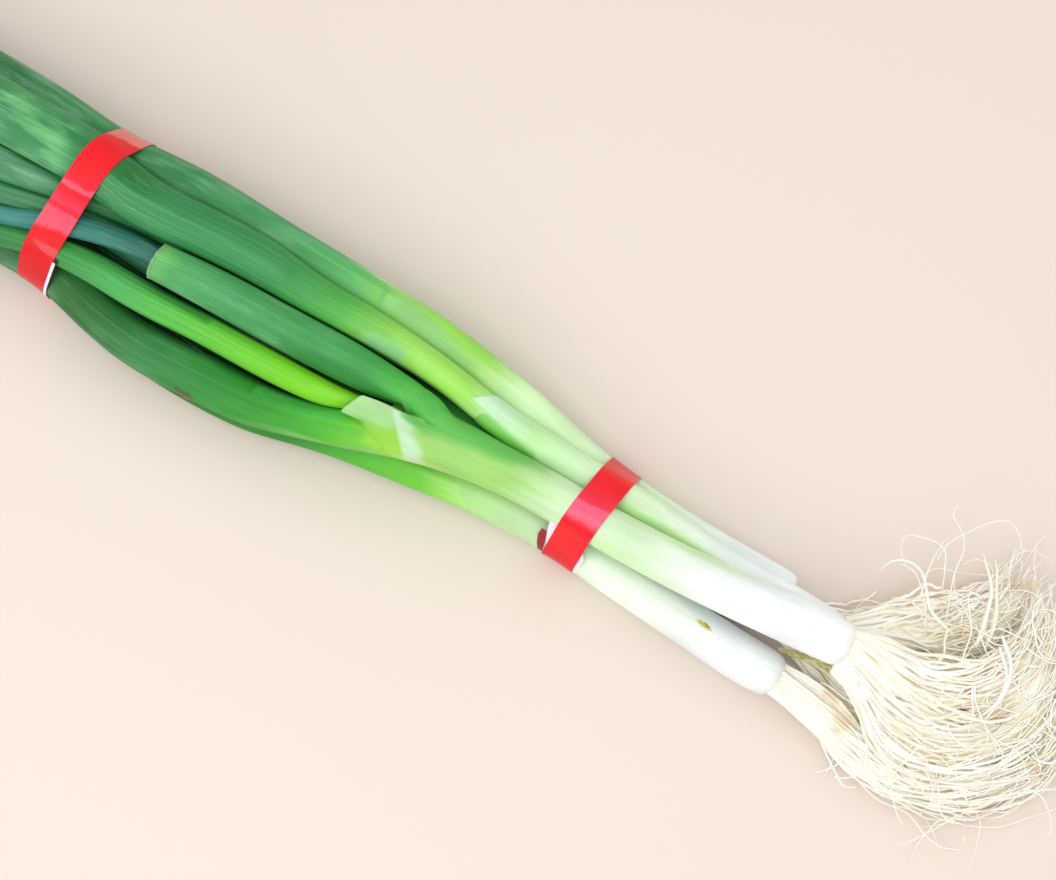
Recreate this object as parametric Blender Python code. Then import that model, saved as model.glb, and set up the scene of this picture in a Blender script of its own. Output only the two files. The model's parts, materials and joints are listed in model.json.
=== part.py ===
"""A bunch of spring onions, lying down and held by two tapes.

Metres, +Z up. The bunch lies along X: roots at +X, leaf tips at -X. The origin is the
middle of the underside of the whole bunch.

Each stalk, inner leaf and tuft of roots is a tube lofted through upright sections across
the bunch. Its course is a few hand-set rows in millimetres, measured from the lower tape:
    (along, across, height, half width, half height)
Where two tubes would overlap, each is pressed flat against the line between them, and
the lowest ones are pressed flat on the ground.
"""

import math

import bmesh
import bpy
import numpy as np
from mathutils import Matrix, Vector
from mathutils.geometry import convex_hull_2d

MM = 0.001

SIDES = 14            # corners of a section
STEP = 12.0           # distance between sections
GAP = 0.32            # clearance between neighbours
REACH = 14.0          # how far past its end a tube still holds its neighbours off
BASE_ROUNDING = 4.5   # length of the rounded lower end of a stalk
BASE_FLAT = 0.55      # share of the width left flat where the roots grow
BASE_SECTIONS = (0.06, 0.3, 0.62, 1.0)   # shares of the rounding that get a section
ROOT_START = 0.4      # distance from a stalk's end to its roots
END_MARGIN = 4.0      # the evenly spaced sections keep this far from a tube's ends
LEAST_REACH = 0.4     # a pressed tube keeps at least this much on each side of its middle
PRESS_DIRECTIONS = 72
FINER_TURNS = (0.05, 0.01, 0.002)        # steps in radians that close in on the best direction
FINER_STEPS = 5

TAPE_WIDTH = 12.4
TAPE_THICKNESS = 0.4
TAPE_SKEW = 0.12      # shift along the bunch per distance across it
TAPE_SEGMENTS = 56
TAPE_CLEARANCE = 0.4
TAB_THICKNESS = 0.3
TAB_SEGMENTS = 10
HULL_SIDES = 32       # corners of a section that a tape goes round
HULL_SECTIONS = 5
CORNER_DIRECTIONS = 16
OUTLINE_SAMPLES = 720
SHARP_ANGLE = 50      # degrees
LIFT = GAP + TAPE_CLEARANCE + TAPE_THICKNESS   # the tapes hold the bunch this far off the ground

# Firmness shares out the pressing: a stalk keeps its shape, roots give way.
FIRMNESS = {"stalk": 3.0, "leaf": 1.5, "roots": 0.4}

STALKS = {
    "onion_a": [
        (74, 14.6, 6.0, 5.8, 5.8), (50, 14.4, 6.2, 6.0, 6.0), (8, 16.4, 6.4, 6.2, 6.2),
        (-10, 18.3, 8.5, 6.6, 6.4), (-33, 22.5, 13, 7.5, 7.2), (-55, 25, 16.5, 8.2, 7.8),
        (-77, 27.3, 19, 8.8, 8), (-99, 28.3, 20, 9, 8), (-141, 29.2, 21, 9.2, 8.5),
        (-185, 30.4, 22, 9.4, 9), (-211, 29, 23, 9, 8.6), (-237, 31, 24, 9, 8),
        (-273, 32.2, 24, 9, 7), (-320, 35, 21, 8, 5), (-360, 37, 17, 5.5, 3.5),
        (-392, 39, 13, 1.5, 1.2),
    ],
    "onion_b": [
        (95, 9.3, 12, 5.4, 5.4), (74, 9.3, 15.5, 5.8, 5.8), (50, 9.3, 16.6, 5.7, 5.7),
        (18, 11.6, 17.6, 6.2, 6.2), (0, 11.6, 17.8, 6.3, 6.2), (-26, 12, 21, 6.6, 6.4),
        (-46, 13, 24, 5.8, 6.2), (-60, 15.5, 26, 5.8, 6), (-98, 18, 29, 6.6, 6),
        (-121, 17.6, 30, 7.2, 6), (-144, 19, 31, 9, 6), (-166, 18, 32, 9.2, 6),
        (-190, 16.4, 33, 9.6, 6), (-212, 19.5, 34, 11, 6), (-250, 20, 33, 11.4, 6),
        (-290, 21, 29, 11, 5), (-330, 22, 23, 9, 4), (-370, 23, 17, 5, 3),
        (-398, 24, 13, 1.5, 1.2),
    ],
    "onion_c": [
        (98.5, 3.2, 25, 8.0, 8.0), (90, 3.0, 25.6, 8.7, 8.6), (74, 1.7, 26.8, 8.9, 8.8),
        (50, -0.6, 26, 8.4, 8.3), (30, -1.6, 25, 8.2, 8.2), (0, -1.8, 23.6, 7.9, 7.8),
        (-26, -1.8, 25, 7.9, 7.8), (-40, -2.8, 26, 8.4, 7.8), (-58, -4.4, 26.3, 10.2, 7.6),
        (-72, -9, 25, 9.6, 7.2), (-82, -13.6, 23, 8.4, 6.8), (-102, -20, 18.5, 7.2, 6.2),
        (-120, -24, 16, 8.2, 6), (-140, -24.8, 15, 8.8, 6), (-172, -26, 14.5, 8.8, 6),
        (-196, -22, 15, 8.4, 5.8), (-212, -17.8, 15.2, 8.2, 5.4), (-240, -18, 14, 8.4, 5),
        (-280, -19, 12.5, 8.4, 4.4),
        (-325, -22, 9.5, 7.4, 3.6), (-365, -25, 7, 5, 2.6), (-394, -27, 5, 1.5, 1.2),
    ],
    "onion_d": [
        (84, -15.2, 8, 8, 8), (76, -15.6, 8.4, 8.6, 8.4), (49, -14.2, 8.2, 8.3, 8.2),
        (16, -12.2, 7.8, 7.8, 7.8), (-10, -10, 7.3, 7.3, 7.3), (-34, -10.8, 7.6, 7.4, 7.4),
        (-64, -14.2, 8.2, 8, 7), (-87, -16.6, 7.6, 8.6, 6.2), (-102, -19, 7, 9, 5.6),
        (-120, -23.4, 6.4, 9.4, 5.2), (-140, -24.8, 5.8, 9.4, 4.8), (-161, -24.6, 5.6, 9.4, 4.6),
        (-196, -20.4, 6, 9.2, 5), (-212, -16.6, 7, 8.8, 5), (-228, -16.2, 7.6, 8.8, 5),
        (-290, -18, 6.5, 8.8, 4.2),
        (-335, -21, 5, 7, 3.5), (-368, -24, 3.6, 4, 2.4), (-388, -26, 2.4, 1.5, 1.2),
    ],
    "onion_e": [
        (64, 0.5, 7, 5.6, 5.6), (50, 0.6, 7.5, 6, 6), (20, 2, 8.2, 6, 6), (0, 3, 9, 6, 6),
        (-26, 4.5, 13, 6.5, 6.5), (-50, 5.5, 16, 7, 6.4), (-75, 6.5, 17.5, 7, 6),
        (-100, 6, 17.5, 7.4, 5.8), (-140, 3.5, 16.5, 8, 5.6), (-176, 3.6, 17, 7.5, 5),
        (-209, 2.8, 22, 6, 4.6), (-221, -0.4, 24.6, 5.8, 4.4), (-236, -4.4, 26.4, 5.6, 4.4),
        (-262, -8, 26.5, 6.4, 4.2), (-300, -9, 22, 6.5, 4), (-345, -9, 14, 5, 3),
        (-385, -9, 8, 1.5, 1.2),
    ],
}

INNER_LEAVES = {
    "onion_a_leaf_2": [
        (-30, 18, 4.6, 1.5, 1.5), (-48, 20, 5, 6, 4.2), (-80, 23, 5.4, 8.5, 5),
        (-140, 26, 5.6, 9.6, 5), (-209, 22, 7, 9.6, 5.2), (-260, 24, 7.5, 9.4, 4.8),
        (-320, 26, 5.5, 7, 3.6), (-360, 29, 3.6, 4, 2.4), (-382, 31, 2.4, 1.4, 1.2),
    ],
    "onion_b_leaf_2": [
        (-52, 15.2, 16.6, 1.5, 1.5), (-70, 15.6, 18, 4, 4), (-100, 15, 19.5, 6, 4.6),
        (-140, 15.5, 20.5, 6.5, 5), (-190, 14, 22.5, 7.5, 5), (-222, 7.6, 29.2, 6, 4.4),
        (-243, 4, 31, 7, 4.4), (-300, 5, 26, 6.5, 3.6), (-345, 9, 20, 4, 2.6),
        (-376, 11, 15, 1.4, 1.2),
    ],
    "onion_b_leaf_3": [
        (-60, 7.5, 6.5, 1.5, 1.5), (-85, 8, 6.4, 6, 4.4), (-140, 9, 6.4, 8, 5),
        (-185, 8, 7.8, 8, 5), (-209, 8, 9.5, 7.5, 5), (-250, 8, 12, 8, 4.8),
        (-300, 8, 9, 7.5, 4), (-350, 8, 5, 5, 2.8), (-386, 7, 2.6, 1.4, 1.2),
    ],
    "onion_c_leaf_2": [
        (-81, -4.4, 24.5, 1.2, 1.2), (-90, -8.5, 26, 3.8, 4.2), (-101, -9.7, 25.5, 4.8, 4.8),
        (-124, -10.6, 25, 5.4, 5), (-148, -10.8, 24.5, 5.4, 5), (-177, -12, 24, 6, 5),
        (-196, -11.5, 24.5, 5.6, 5), (-213, -12.8, 24.2, 5, 4.4), (-236, -17.5, 23, 5.8, 4.4),
        (-280, -21, 20, 6, 4), (-330, -24, 14, 5, 3), (-380, -27, 9, 1.4, 1.2),
    ],
    "onion_c_leaf_3": [
        (-60, 5.6, 29, 1.5, 2), (-67, 5, 29, 3.8, 4.4), (-74, 3.8, 29, 5.4, 6),
        (-84, 3.5, 29.5, 6.6, 6.4), (-99, 3.2, 29.8, 7.8, 6.4), (-123, 2.8, 30, 8, 6.4),
        (-163, 1.6, 31.4, 7.4, 6.2), (-174.5, 0.8, 31.4, 7, 6.1),
    ],
    "onion_d_leaf_2": [
        (-54, -5.4, 8.5, 1.5, 1.5), (-70, -5.5, 8, 5, 5), (-100, -6, 7.5, 7.5, 5.6),
        (-140, -8, 7, 8.2, 5.4), (-209, -3, 7, 8, 5.4), (-250, -2, 6.5, 8.4, 5),
        (-300, -4, 5.5, 7.5, 4), (-350, -8, 3.6, 4.5, 2.6), (-376, -11, 2.2, 1.4, 1.2),
    ],
    "onion_e_leaf_2": [
        (-66, -3.6, 15.4, 1.5, 1.5), (-85, -5, 15, 4.4, 3.6), (-140, -8.5, 15, 5.5, 4),
        (-176, -9.5, 15, 6, 4), (-209, -8.6, 16, 5, 3.6), (-250, -9, 17, 5, 3.4),
        (-290, -8, 14, 1.4, 1.2),
    ],
    "onion_e_leaf_3": [
        (-110, -3.6, 22.6, 1.3, 1.3), (-140, -3.4, 22.4, 3, 2.2), (-165, 0.8, 23, 3.6, 2.4),
        (-178, 3.6, 25, 4.2, 2.8), (-196, 0.8, 27.4, 4.4, 3), (-212, -3.8, 28.8, 4.6, 3.2),
        (-224, -9.6, 29.2, 3.4, 3), (-238, -13.2, 28, 3.6, 3), (-262, -16, 26, 4, 3),
        (-310, -18, 20.5, 3.6, 2.4), (-352, -19, 14, 1.3, 1.1),
    ],
}

ROOTS = {
    "onion_a": [
        (74, 13.6, 5.4, 3.2, 3.2), (82, 12, 3.4, 4, 3), (92, 11, 2.6, 4.5, 2.6),
        (106, 18, 2.6, 6, 2.6), (122, 27, 2.4, 6, 2.2),
    ],
    "onion_b": [
        (95, 9.3, 11.5, 3.4, 3.4), (101, 16, 10, 8, 6), (108, 28, 9, 13, 7),
        (120, 36, 10, 20, 8), (135, 44, 11, 25, 9), (152, 49, 11, 24, 9),
        (170, 52, 10, 20, 8), (186, 50, 8, 12, 5),
    ],
    "onion_c": [
        (98.5, 3.2, 24.5, 4.8, 4.8), (104, 3, 23.5, 9.5, 8), (114, 3, 20, 13, 9.5),
        (128, 4, 16, 16, 10), (145, 8, 15, 20, 10), (165, 16, 14, 22, 10),
        (185, 24, 12, 20, 9), (200, 30, 10, 12, 6),
    ],
    "onion_d": [
        (84, -15.2, 8, 4.8, 4.8), (90, -16, 8.2, 8, 7), (100, -18, 7.5, 9, 6.5),
        (115, -20.5, 6.4, 9.5, 5.5), (130, -22.6, 5.4, 10, 5), (150, -22, 4.8, 11, 4.6),
        (170, -14, 4.4, 14, 4.4), (188, -2, 4, 13, 4), (198, 6, 3.4, 8, 3),
    ],
    "onion_e": [
        (64, 0.5, 7, 3.4, 3.4), (75, 0.4, 5.4, 5.4, 4.6), (88, -1, 4.6, 6, 4),
        (100, -2, 4.2, 8, 4), (120, 2, 4, 12, 4), (140, 10, 3.6, 15, 3.6),
        (160, 18, 3.2, 16, 3.2), (180, 24, 2.6, 10, 2.4),
    ],
}

# Where each tape crosses the middle of the bunch, and its paper tab: the tab's start and
# end angle round the bunch (90 is the top), and how far it shows beyond either edge.
TAPES = {
    "lower": {"along": 0.3, "tab": (136, 206), "tab_shows": (3.0, 2.0)},
    "upper": {"along": -211.0, "tab": (188, 226), "tab_shows": (-6.0, 1.8)},
}

COLOURS = {
    "stalk": (0.78, 0.93, 0.62), "leaf": (0.10, 0.36, 0.13), "roots": (0.86, 0.80, 0.64),
    "tape": (0.80, 0.02, 0.04), "tab": (0.90, 0.88, 0.92),
}
ROUGHNESS = {"stalk": 0.35, "leaf": 0.42, "roots": 0.75, "tape": 0.22, "tab": 0.6}


def value_at(rows, along):
    """The row at a distance along the bunch, on a smooth curve through the given rows."""
    table = np.array(sorted(rows), dtype=float)
    xs, values = table[:, 0], table[:, 1:]
    along = min(max(along, xs[0]), xs[-1])
    slopes = np.gradient(values, xs, axis=0)
    i = min(max(int(np.searchsorted(xs, along)) - 1, 0), len(xs) - 2)
    span = xs[i + 1] - xs[i]
    t = (along - xs[i]) / span
    return (
        (2 * t**3 - 3 * t**2 + 1) * values[i]
        + (t**3 - 2 * t**2 + t) * span * slopes[i]
        + (3 * t**2 - 2 * t**3) * values[i + 1]
        + (t**3 - t**2) * span * slopes[i + 1]
    )


def make_tubes():
    """Every tube with its rows, its kind and the onion that it grows on."""
    tubes = {}
    for onion, rows in STALKS.items():
        tubes[onion + "_stalk"] = {"rows": rows, "kind": "stalk", "onion": onion}
    for name, rows in INNER_LEAVES.items():
        onion = name.split("_leaf")[0]
        tubes[name] = {"rows": rows, "kind": "leaf", "onion": onion}
    for onion, rows in ROOTS.items():
        first = max(r[0] for r in STALKS[onion]) + ROOT_START
        rows = [(max(r[0], first), *r[1:]) for r in rows]
        tubes[onion + "_roots"] = {"rows": rows, "kind": "roots", "onion": onion}
    for tube in tubes.values():
        tube["low"] = min(r[0] for r in tube["rows"])
        tube["high"] = max(r[0] for r in tube["rows"])
    return tubes


def ground_at(along):
    """Height of the ground under the bunch: the tapes lift it at their own places."""
    nearest = min(abs(along - tape["along"]) for tape in TAPES.values())
    t = min(max((nearest - TAPE_WIDTH) / (2 * STEP), 0.0), 1.0)
    return -LIFT * t * t * (3 - 2 * t)


def base_scale(tube, along):
    """Rounds off the lower end of a stalk."""
    into = (along - (tube["high"] - BASE_ROUNDING)) / BASE_ROUNDING
    if tube["kind"] != "stalk" or into <= 0:
        return 1.0
    return BASE_FLAT + (1 - BASE_FLAT) * math.sqrt(max(1 - into * into, 0.0))


def separation(first, second, angle):
    """Distance between two ellipses, measured along one direction."""
    ny, nz = np.cos(angle), np.sin(angle)
    centres = (second[0] - first[0]) * ny + (second[1] - first[1]) * nz
    return centres - np.hypot(first[2] * ny, first[3] * nz) - np.hypot(second[2] * ny, second[3] * nz)


def best_direction(first, second):
    """The direction across the bunch that sets two ellipses furthest apart."""
    angles = np.linspace(0, 2 * math.pi, PRESS_DIRECTIONS, endpoint=False)
    best = angles[int(np.argmax(separation(first, second, angles)))]
    for width in FINER_TURNS:
        near = best + width * np.arange(-FINER_STEPS, FINER_STEPS + 1)
        best = near[int(np.argmax(separation(first, second, near)))]
    return best, float(separation(first, second, best))


def are_apart_along(first, second):
    """A stalk and its own roots meet end to end, so they don't press on each other."""
    return first["onion"] == second["onion"] and {first["kind"], second["kind"]} == {"stalk", "roots"}


def pressed_limits(tubes, along):
    """Each tube's ellipse at one place, with the lines that its neighbours press it to."""
    ellipses = {
        name: value_at(tube["rows"], along)
        for name, tube in tubes.items()
        if tube["low"] - REACH <= along <= tube["high"] + REACH
    }
    limits = {name: [] for name in ellipses}
    names = sorted(ellipses)
    for i, one in enumerate(names):
        for other in names[i + 1:]:
            if are_apart_along(tubes[one], tubes[other]):
                continue
            angle, apart = best_direction(ellipses[one], ellipses[other])
            if apart >= GAP:
                continue
            firm = FIRMNESS[tubes[one]["kind"]]
            firm_other = FIRMNESS[tubes[other]["kind"]]
            overlap = GAP - apart
            for name, turn, share in (
                (one, 0.0, firm_other / (firm + firm_other)),
                (other, math.pi, firm / (firm + firm_other)),
            ):
                ny, nz = math.cos(angle + turn), math.sin(angle + turn)
                size = math.hypot(ellipses[name][2] * ny, ellipses[name][3] * nz)
                limits[name].append((ny, nz, size - overlap * share))
    return ellipses, limits


def section(tubes, name, along, corners=SIDES):
    """A tube's outline at one place, as (across, height) corners."""
    ellipses, limits = pressed_limits(tubes, along)
    y, z, half_width, half_height = ellipses[name]
    scale = base_scale(tubes[name], along)
    ground = ground_at(along)
    outline = []
    for k in range(corners):
        turn = 2 * math.pi * k / corners
        dy, dz = half_width * math.cos(turn), half_height * math.sin(turn)
        reach = 1.0
        for ny, nz, limit in limits[name]:
            towards = dy * ny + dz * nz
            if towards > 0:
                reach = min(reach, max(limit, LEAST_REACH) / towards)
        outline.append((y + dy * reach * scale, max(z + dz * reach * scale, ground)))
    return outline


def stations(tube):
    """Where a tube has sections: a common grid, and a few more at its two ends."""
    low, high = tube["low"], tube["high"]
    grid = np.arange(math.ceil(low / STEP), math.floor(high / STEP) + 1) * STEP
    ends = [low, high]
    if tube["kind"] == "stalk":
        ends += [high - BASE_ROUNDING * s for s in BASE_SECTIONS]
    first = min(ends) + END_MARGIN
    last = min(e for e in ends if e > low) - END_MARGIN
    return sorted(ends + [float(x) for x in grid if first < x < last])


def finish_object(name, bm, kind):
    """Turns a bmesh in millimetres into a named object with its own material."""
    bmesh.ops.recalc_face_normals(bm, faces=bm.faces)
    bmesh.ops.scale(bm, vec=(MM, MM, MM), verts=bm.verts)
    mesh = bpy.data.meshes.new(name)
    bm.to_mesh(mesh)
    bm.free()
    mesh.shade_smooth()
    mesh.set_sharp_from_angle(angle=math.radians(SHARP_ANGLE))
    material = bpy.data.materials.new(name)
    material.use_nodes = True
    shader = material.node_tree.nodes["Principled BSDF"]
    shader.inputs["Base Color"].default_value = (*COLOURS[kind], 1)
    shader.inputs["Roughness"].default_value = ROUGHNESS[kind]
    mesh.materials.append(material)
    obj = bpy.data.objects.new(name, mesh)
    bpy.context.scene.collection.objects.link(obj)
    return obj


def loft(bm, rings):
    """Joins closed rings of points into one capped tube."""
    made = [[bm.verts.new(point) for point in ring] for ring in rings]
    for ring, following in zip(made, made[1:]):
        for k in range(len(ring)):
            m = (k + 1) % len(ring)
            bm.faces.new((ring[k], ring[m], following[m], following[k]))
    bm.faces.new(made[0])
    bm.faces.new(made[-1])


def make_tube(tubes, name):
    rings = [
        [(along, y, z) for y, z in section(tubes, name, along)]
        for along in stations(tubes[name])
    ]
    bm = bmesh.new()
    loft(bm, rings)
    return finish_object(name, bm, tubes[name]["kind"])


def hull_of(points):
    flat = [Vector(p) for p in points]
    return [tuple(flat[i]) for i in convex_hull_2d(flat)]


def grown(points, by):
    """The tight outline round points, set off from them and rounded at its corners."""
    spread = [
        (y + by * math.cos(a), z + by * math.sin(a))
        for y, z in points
        for a in np.linspace(0, 2 * math.pi, CORNER_DIRECTIONS, endpoint=False)
    ]
    return hull_of(spread)


def evenly_spaced(outline, count):
    """Points at equal steps round a closed outline, anticlockwise from its +Y side."""
    loop = np.array(outline)
    middle = loop.mean(axis=0)
    angles = np.arctan2(loop[:, 1] - middle[1], loop[:, 0] - middle[0])
    loop = loop[np.argsort(angles % (2 * math.pi))]
    closed = np.vstack([loop, loop[:1]])
    lengths = np.concatenate([[0], np.cumsum(np.hypot(*np.diff(closed, axis=0).T))])
    at = np.linspace(0, lengths[-1], count, endpoint=False)
    return np.column_stack([np.interp(at, lengths, closed[:, i]) for i in (0, 1)])


def set_off(loop, by):
    """The points of a closed convex loop, moved outwards."""
    along = np.roll(loop, -1, axis=0) - np.roll(loop, 1, axis=0)
    outwards = np.column_stack([along[:, 1], -along[:, 0]])
    return loop + by * outwards / np.linalg.norm(outwards, axis=1, keepdims=True)


def bunch_outline(tubes, along):
    """All section corners that a tape at this place has to go round."""
    points = []
    for x in along + TAPE_WIDTH * np.linspace(-1, 1, HULL_SECTIONS):
        for name, tube in tubes.items():
            if tube["low"] <= x <= tube["high"]:
                points += section(tubes, name, x, HULL_SIDES)
    return points


def band_rings(inner, outer, along, middle, low_edge, high_edge):
    """Four-cornered sections round a band, skewed across the bunch."""
    rings = []
    for near, far in zip(inner, outer):
        shifted = along + TAPE_SKEW * (near[0] - middle)
        low, high = shifted + low_edge, shifted + high_edge
        rings.append([(low, *near), (low, *far), (high, *far), (high, *near)])
    return rings


def make_tab(name, outline, tape, middle):
    """A strip of backing paper between the bunch and the tape."""
    start, end = (math.radians(a) for a in tape["tab"])
    centre = np.mean(outline, axis=0)
    loop = evenly_spaced(outline, OUTLINE_SAMPLES)
    angles = np.arctan2(loop[:, 1] - centre[1], loop[:, 0] - centre[0]) % (2 * math.pi)
    covered = (angles >= start) & (angles <= end)
    course = loop[covered][np.argsort(angles[covered])]
    picks = np.linspace(0, len(course) - 1, TAB_SEGMENTS + 1).astype(int)
    inner = course[picks]
    away = inner - centre
    outer = inner + TAB_THICKNESS * away / np.linalg.norm(away, axis=1, keepdims=True)
    left, right = tape["tab_shows"]
    rings = band_rings(inner, outer, tape["along"], middle,
                       -TAPE_WIDTH / 2 - left, TAPE_WIDTH / 2 + right)
    bm = bmesh.new()
    loft(bm, rings)
    finish_object(name, bm, "tab")
    return [tuple(p) for p in outer]


def make_tape(name, outline, tape, middle):
    """A closed band round the bunch."""
    inner = evenly_spaced(outline, TAPE_SEGMENTS)
    outer = set_off(inner, TAPE_THICKNESS)
    rings = band_rings(inner, outer, tape["along"], middle, -TAPE_WIDTH / 2, TAPE_WIDTH / 2)
    bm = bmesh.new()
    made = [[bm.verts.new(point) for point in ring] for ring in rings]
    for i, ring in enumerate(made):
        following = made[(i + 1) % len(made)]
        for k in range(len(ring)):
            m = (k + 1) % len(ring)
            bm.faces.new((ring[k], ring[m], following[m], following[k]))
    finish_object(name, bm, "tape")


def make_tape_and_tab(tubes, which):
    tape = TAPES[which]
    around = bunch_outline(tubes, tape["along"])
    snug = grown(around, GAP)
    middle = float(np.mean([y for y, _ in snug]))
    tab_points = make_tab("tab_" + which, snug, tape, middle)
    make_tape("tape_" + which, grown(snug + tab_points, TAPE_CLEARANCE), tape, middle)


def put_origin_under_middle():
    """Moves every mesh so that the origin is the middle of the bunch's underside."""
    corners = [v.co for obj in bpy.data.objects for v in obj.data.vertices]
    low = Vector(min(c[i] for c in corners) for i in range(3))
    high = Vector(max(c[i] for c in corners) for i in range(3))
    shift = Vector((-(low.x + high.x) / 2, -(low.y + high.y) / 2, -low.z))
    for obj in bpy.data.objects:
        obj.data.transform(Matrix.Translation(shift))
    print("moved by (mm)", [round(c / MM, 2) for c in shift])
    print("size (mm)", [round(c / MM, 1) for c in high - low])


def main():
    for obj in list(bpy.data.objects):
        bpy.data.objects.remove(obj, do_unlink=True)
    tubes = make_tubes()
    for name in tubes:
        make_tube(tubes, name)
    for which in TAPES:
        make_tape_and_tab(tubes, which)
    put_origin_under_middle()


main()
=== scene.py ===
import json
import math
import random
from contextlib import contextmanager

import bpy
import numpy as np
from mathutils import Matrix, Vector
from mathutils.geometry import convex_hull_2d

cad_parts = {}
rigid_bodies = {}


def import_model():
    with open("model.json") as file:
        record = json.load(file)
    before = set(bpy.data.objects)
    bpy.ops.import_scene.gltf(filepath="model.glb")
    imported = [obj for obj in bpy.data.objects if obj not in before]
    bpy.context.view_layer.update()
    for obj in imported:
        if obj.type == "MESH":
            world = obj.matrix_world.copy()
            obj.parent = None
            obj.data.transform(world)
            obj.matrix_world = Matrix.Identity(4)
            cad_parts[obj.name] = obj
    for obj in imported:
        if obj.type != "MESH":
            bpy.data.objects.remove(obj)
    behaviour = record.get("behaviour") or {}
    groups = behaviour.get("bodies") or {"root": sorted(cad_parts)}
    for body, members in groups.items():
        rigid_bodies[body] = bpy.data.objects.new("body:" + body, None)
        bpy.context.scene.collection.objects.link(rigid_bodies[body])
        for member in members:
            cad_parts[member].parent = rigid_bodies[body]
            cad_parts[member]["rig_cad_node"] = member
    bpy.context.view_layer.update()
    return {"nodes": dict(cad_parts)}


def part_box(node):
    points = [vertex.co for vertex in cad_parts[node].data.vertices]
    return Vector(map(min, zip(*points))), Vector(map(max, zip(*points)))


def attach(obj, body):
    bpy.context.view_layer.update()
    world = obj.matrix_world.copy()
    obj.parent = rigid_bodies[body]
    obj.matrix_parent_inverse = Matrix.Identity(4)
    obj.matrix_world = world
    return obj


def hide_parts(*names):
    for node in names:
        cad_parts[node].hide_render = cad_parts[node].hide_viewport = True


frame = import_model()
nodes = frame["nodes"]
mm = 0.001
fullTurn = 2 * math.pi

# places are told as (along, across, height) in mm from the middle of the lower tape,
# with the ground near height 0, the roots at + along and the leaf tips at - along
reach = {"baseOfC": 98.5, "nearSideOfTape": 20.94, "tapeLift": 1.12}
home = Vector((
    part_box("onion_c_stalk")[1].x - reach["baseOfC"] * mm,
    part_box("tape_lower")[0].y + reach["nearSideOfTape"] * mm,
    reach["tapeLift"] * mm,
))


def place(along, across, height):
    return home + Vector((along, across, height)) * mm


def srgb(red, green, blue):
    # a colour as a paint chip shows it, 0 to 255, made linear
    levels = [c / 255 for c in (red, green, blue)]
    return [c / 12.92 if c <= 0.04045 else ((c + 0.055) / 1.055) ** 2.4 for c in levels] + [1.0]


camera = {
    "target": (-31.69, 12.24, 20), "azimuth": 30.0, "elevation": 78.0,
    "distance": 592.2, "lens": 57.95, "sensor": 36, "nearest": 0.01,
}
floor = {"size": 60.0, "height": -0.0002, "colour": srgb(226, 213, 203), "roughness": 0.7}
lights = {
    # name: (along, across, height), size, power, colour
    "key": ((420, 700, 950), 0.9, 2.6, (1.0, 0.995, 0.98)),
    "window": ((-600, -620, 560), 0.3, 1.3, (0.97, 0.985, 1.0)),
    "ceiling": ((-130, -230, 1000), 0.7, 3.0, (1.0, 0.997, 0.99)),
    "front": ((150, -700, 700), 0.8, 2.0, (1.0, 0.995, 0.985)),
}
sky = {"colour": (1.0, 0.99, 0.98, 1.0), "strength": 0.7}


def makeCamera(values):
    turn, tilt = math.radians(values["azimuth"]), math.radians(values["elevation"])
    back = Vector((math.sin(turn) * math.cos(tilt), -math.cos(turn) * math.cos(tilt), math.sin(tilt)))
    where = place(*values["target"]) + back * values["distance"] * mm
    bpy.ops.object.camera_add(location=where, rotation=(math.pi / 2 - tilt, 0, turn))
    made = bpy.context.active_object
    made.data.lens = values["lens"]
    made.data.sensor_width = values["sensor"]
    made.data.clip_start = values["nearest"]
    bpy.context.scene.camera = made


def makeFloor(values):
    bpy.ops.mesh.primitive_plane_add(size=values["size"], location=(0, 0, values["height"]))
    ground = bpy.context.active_object
    ground.name = "floor"
    bpy.ops.object.transform_apply(location=True, rotation=True, scale=True)
    finish = Finish("pale board")
    finish.fill(finish.shader, {"Base Color": values["colour"], "Roughness": values["roughness"]})
    ground.data.materials.append(finish.material)


def makeLights():
    for name, (where, size, power, colour) in lights.items():
        spot = place(*where)
        bpy.ops.object.light_add(type="AREA", location=spot)
        lamp = bpy.context.active_object
        lamp.name = name
        lamp.rotation_euler = (spot - home).to_track_quat("Z", "Y").to_euler()
        lamp.data.size = size
        lamp.data.energy = power
        lamp.data.color = colour
    world = bpy.data.worlds.new("studio")
    bpy.context.scene.world = world
    world.use_nodes = True
    background = world.node_tree.nodes["Background"]
    background.inputs["Color"].default_value = sky["colour"]
    background.inputs["Strength"].default_value = sky["strength"]
    bpy.context.scene.view_settings.view_transform = "Standard"


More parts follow.
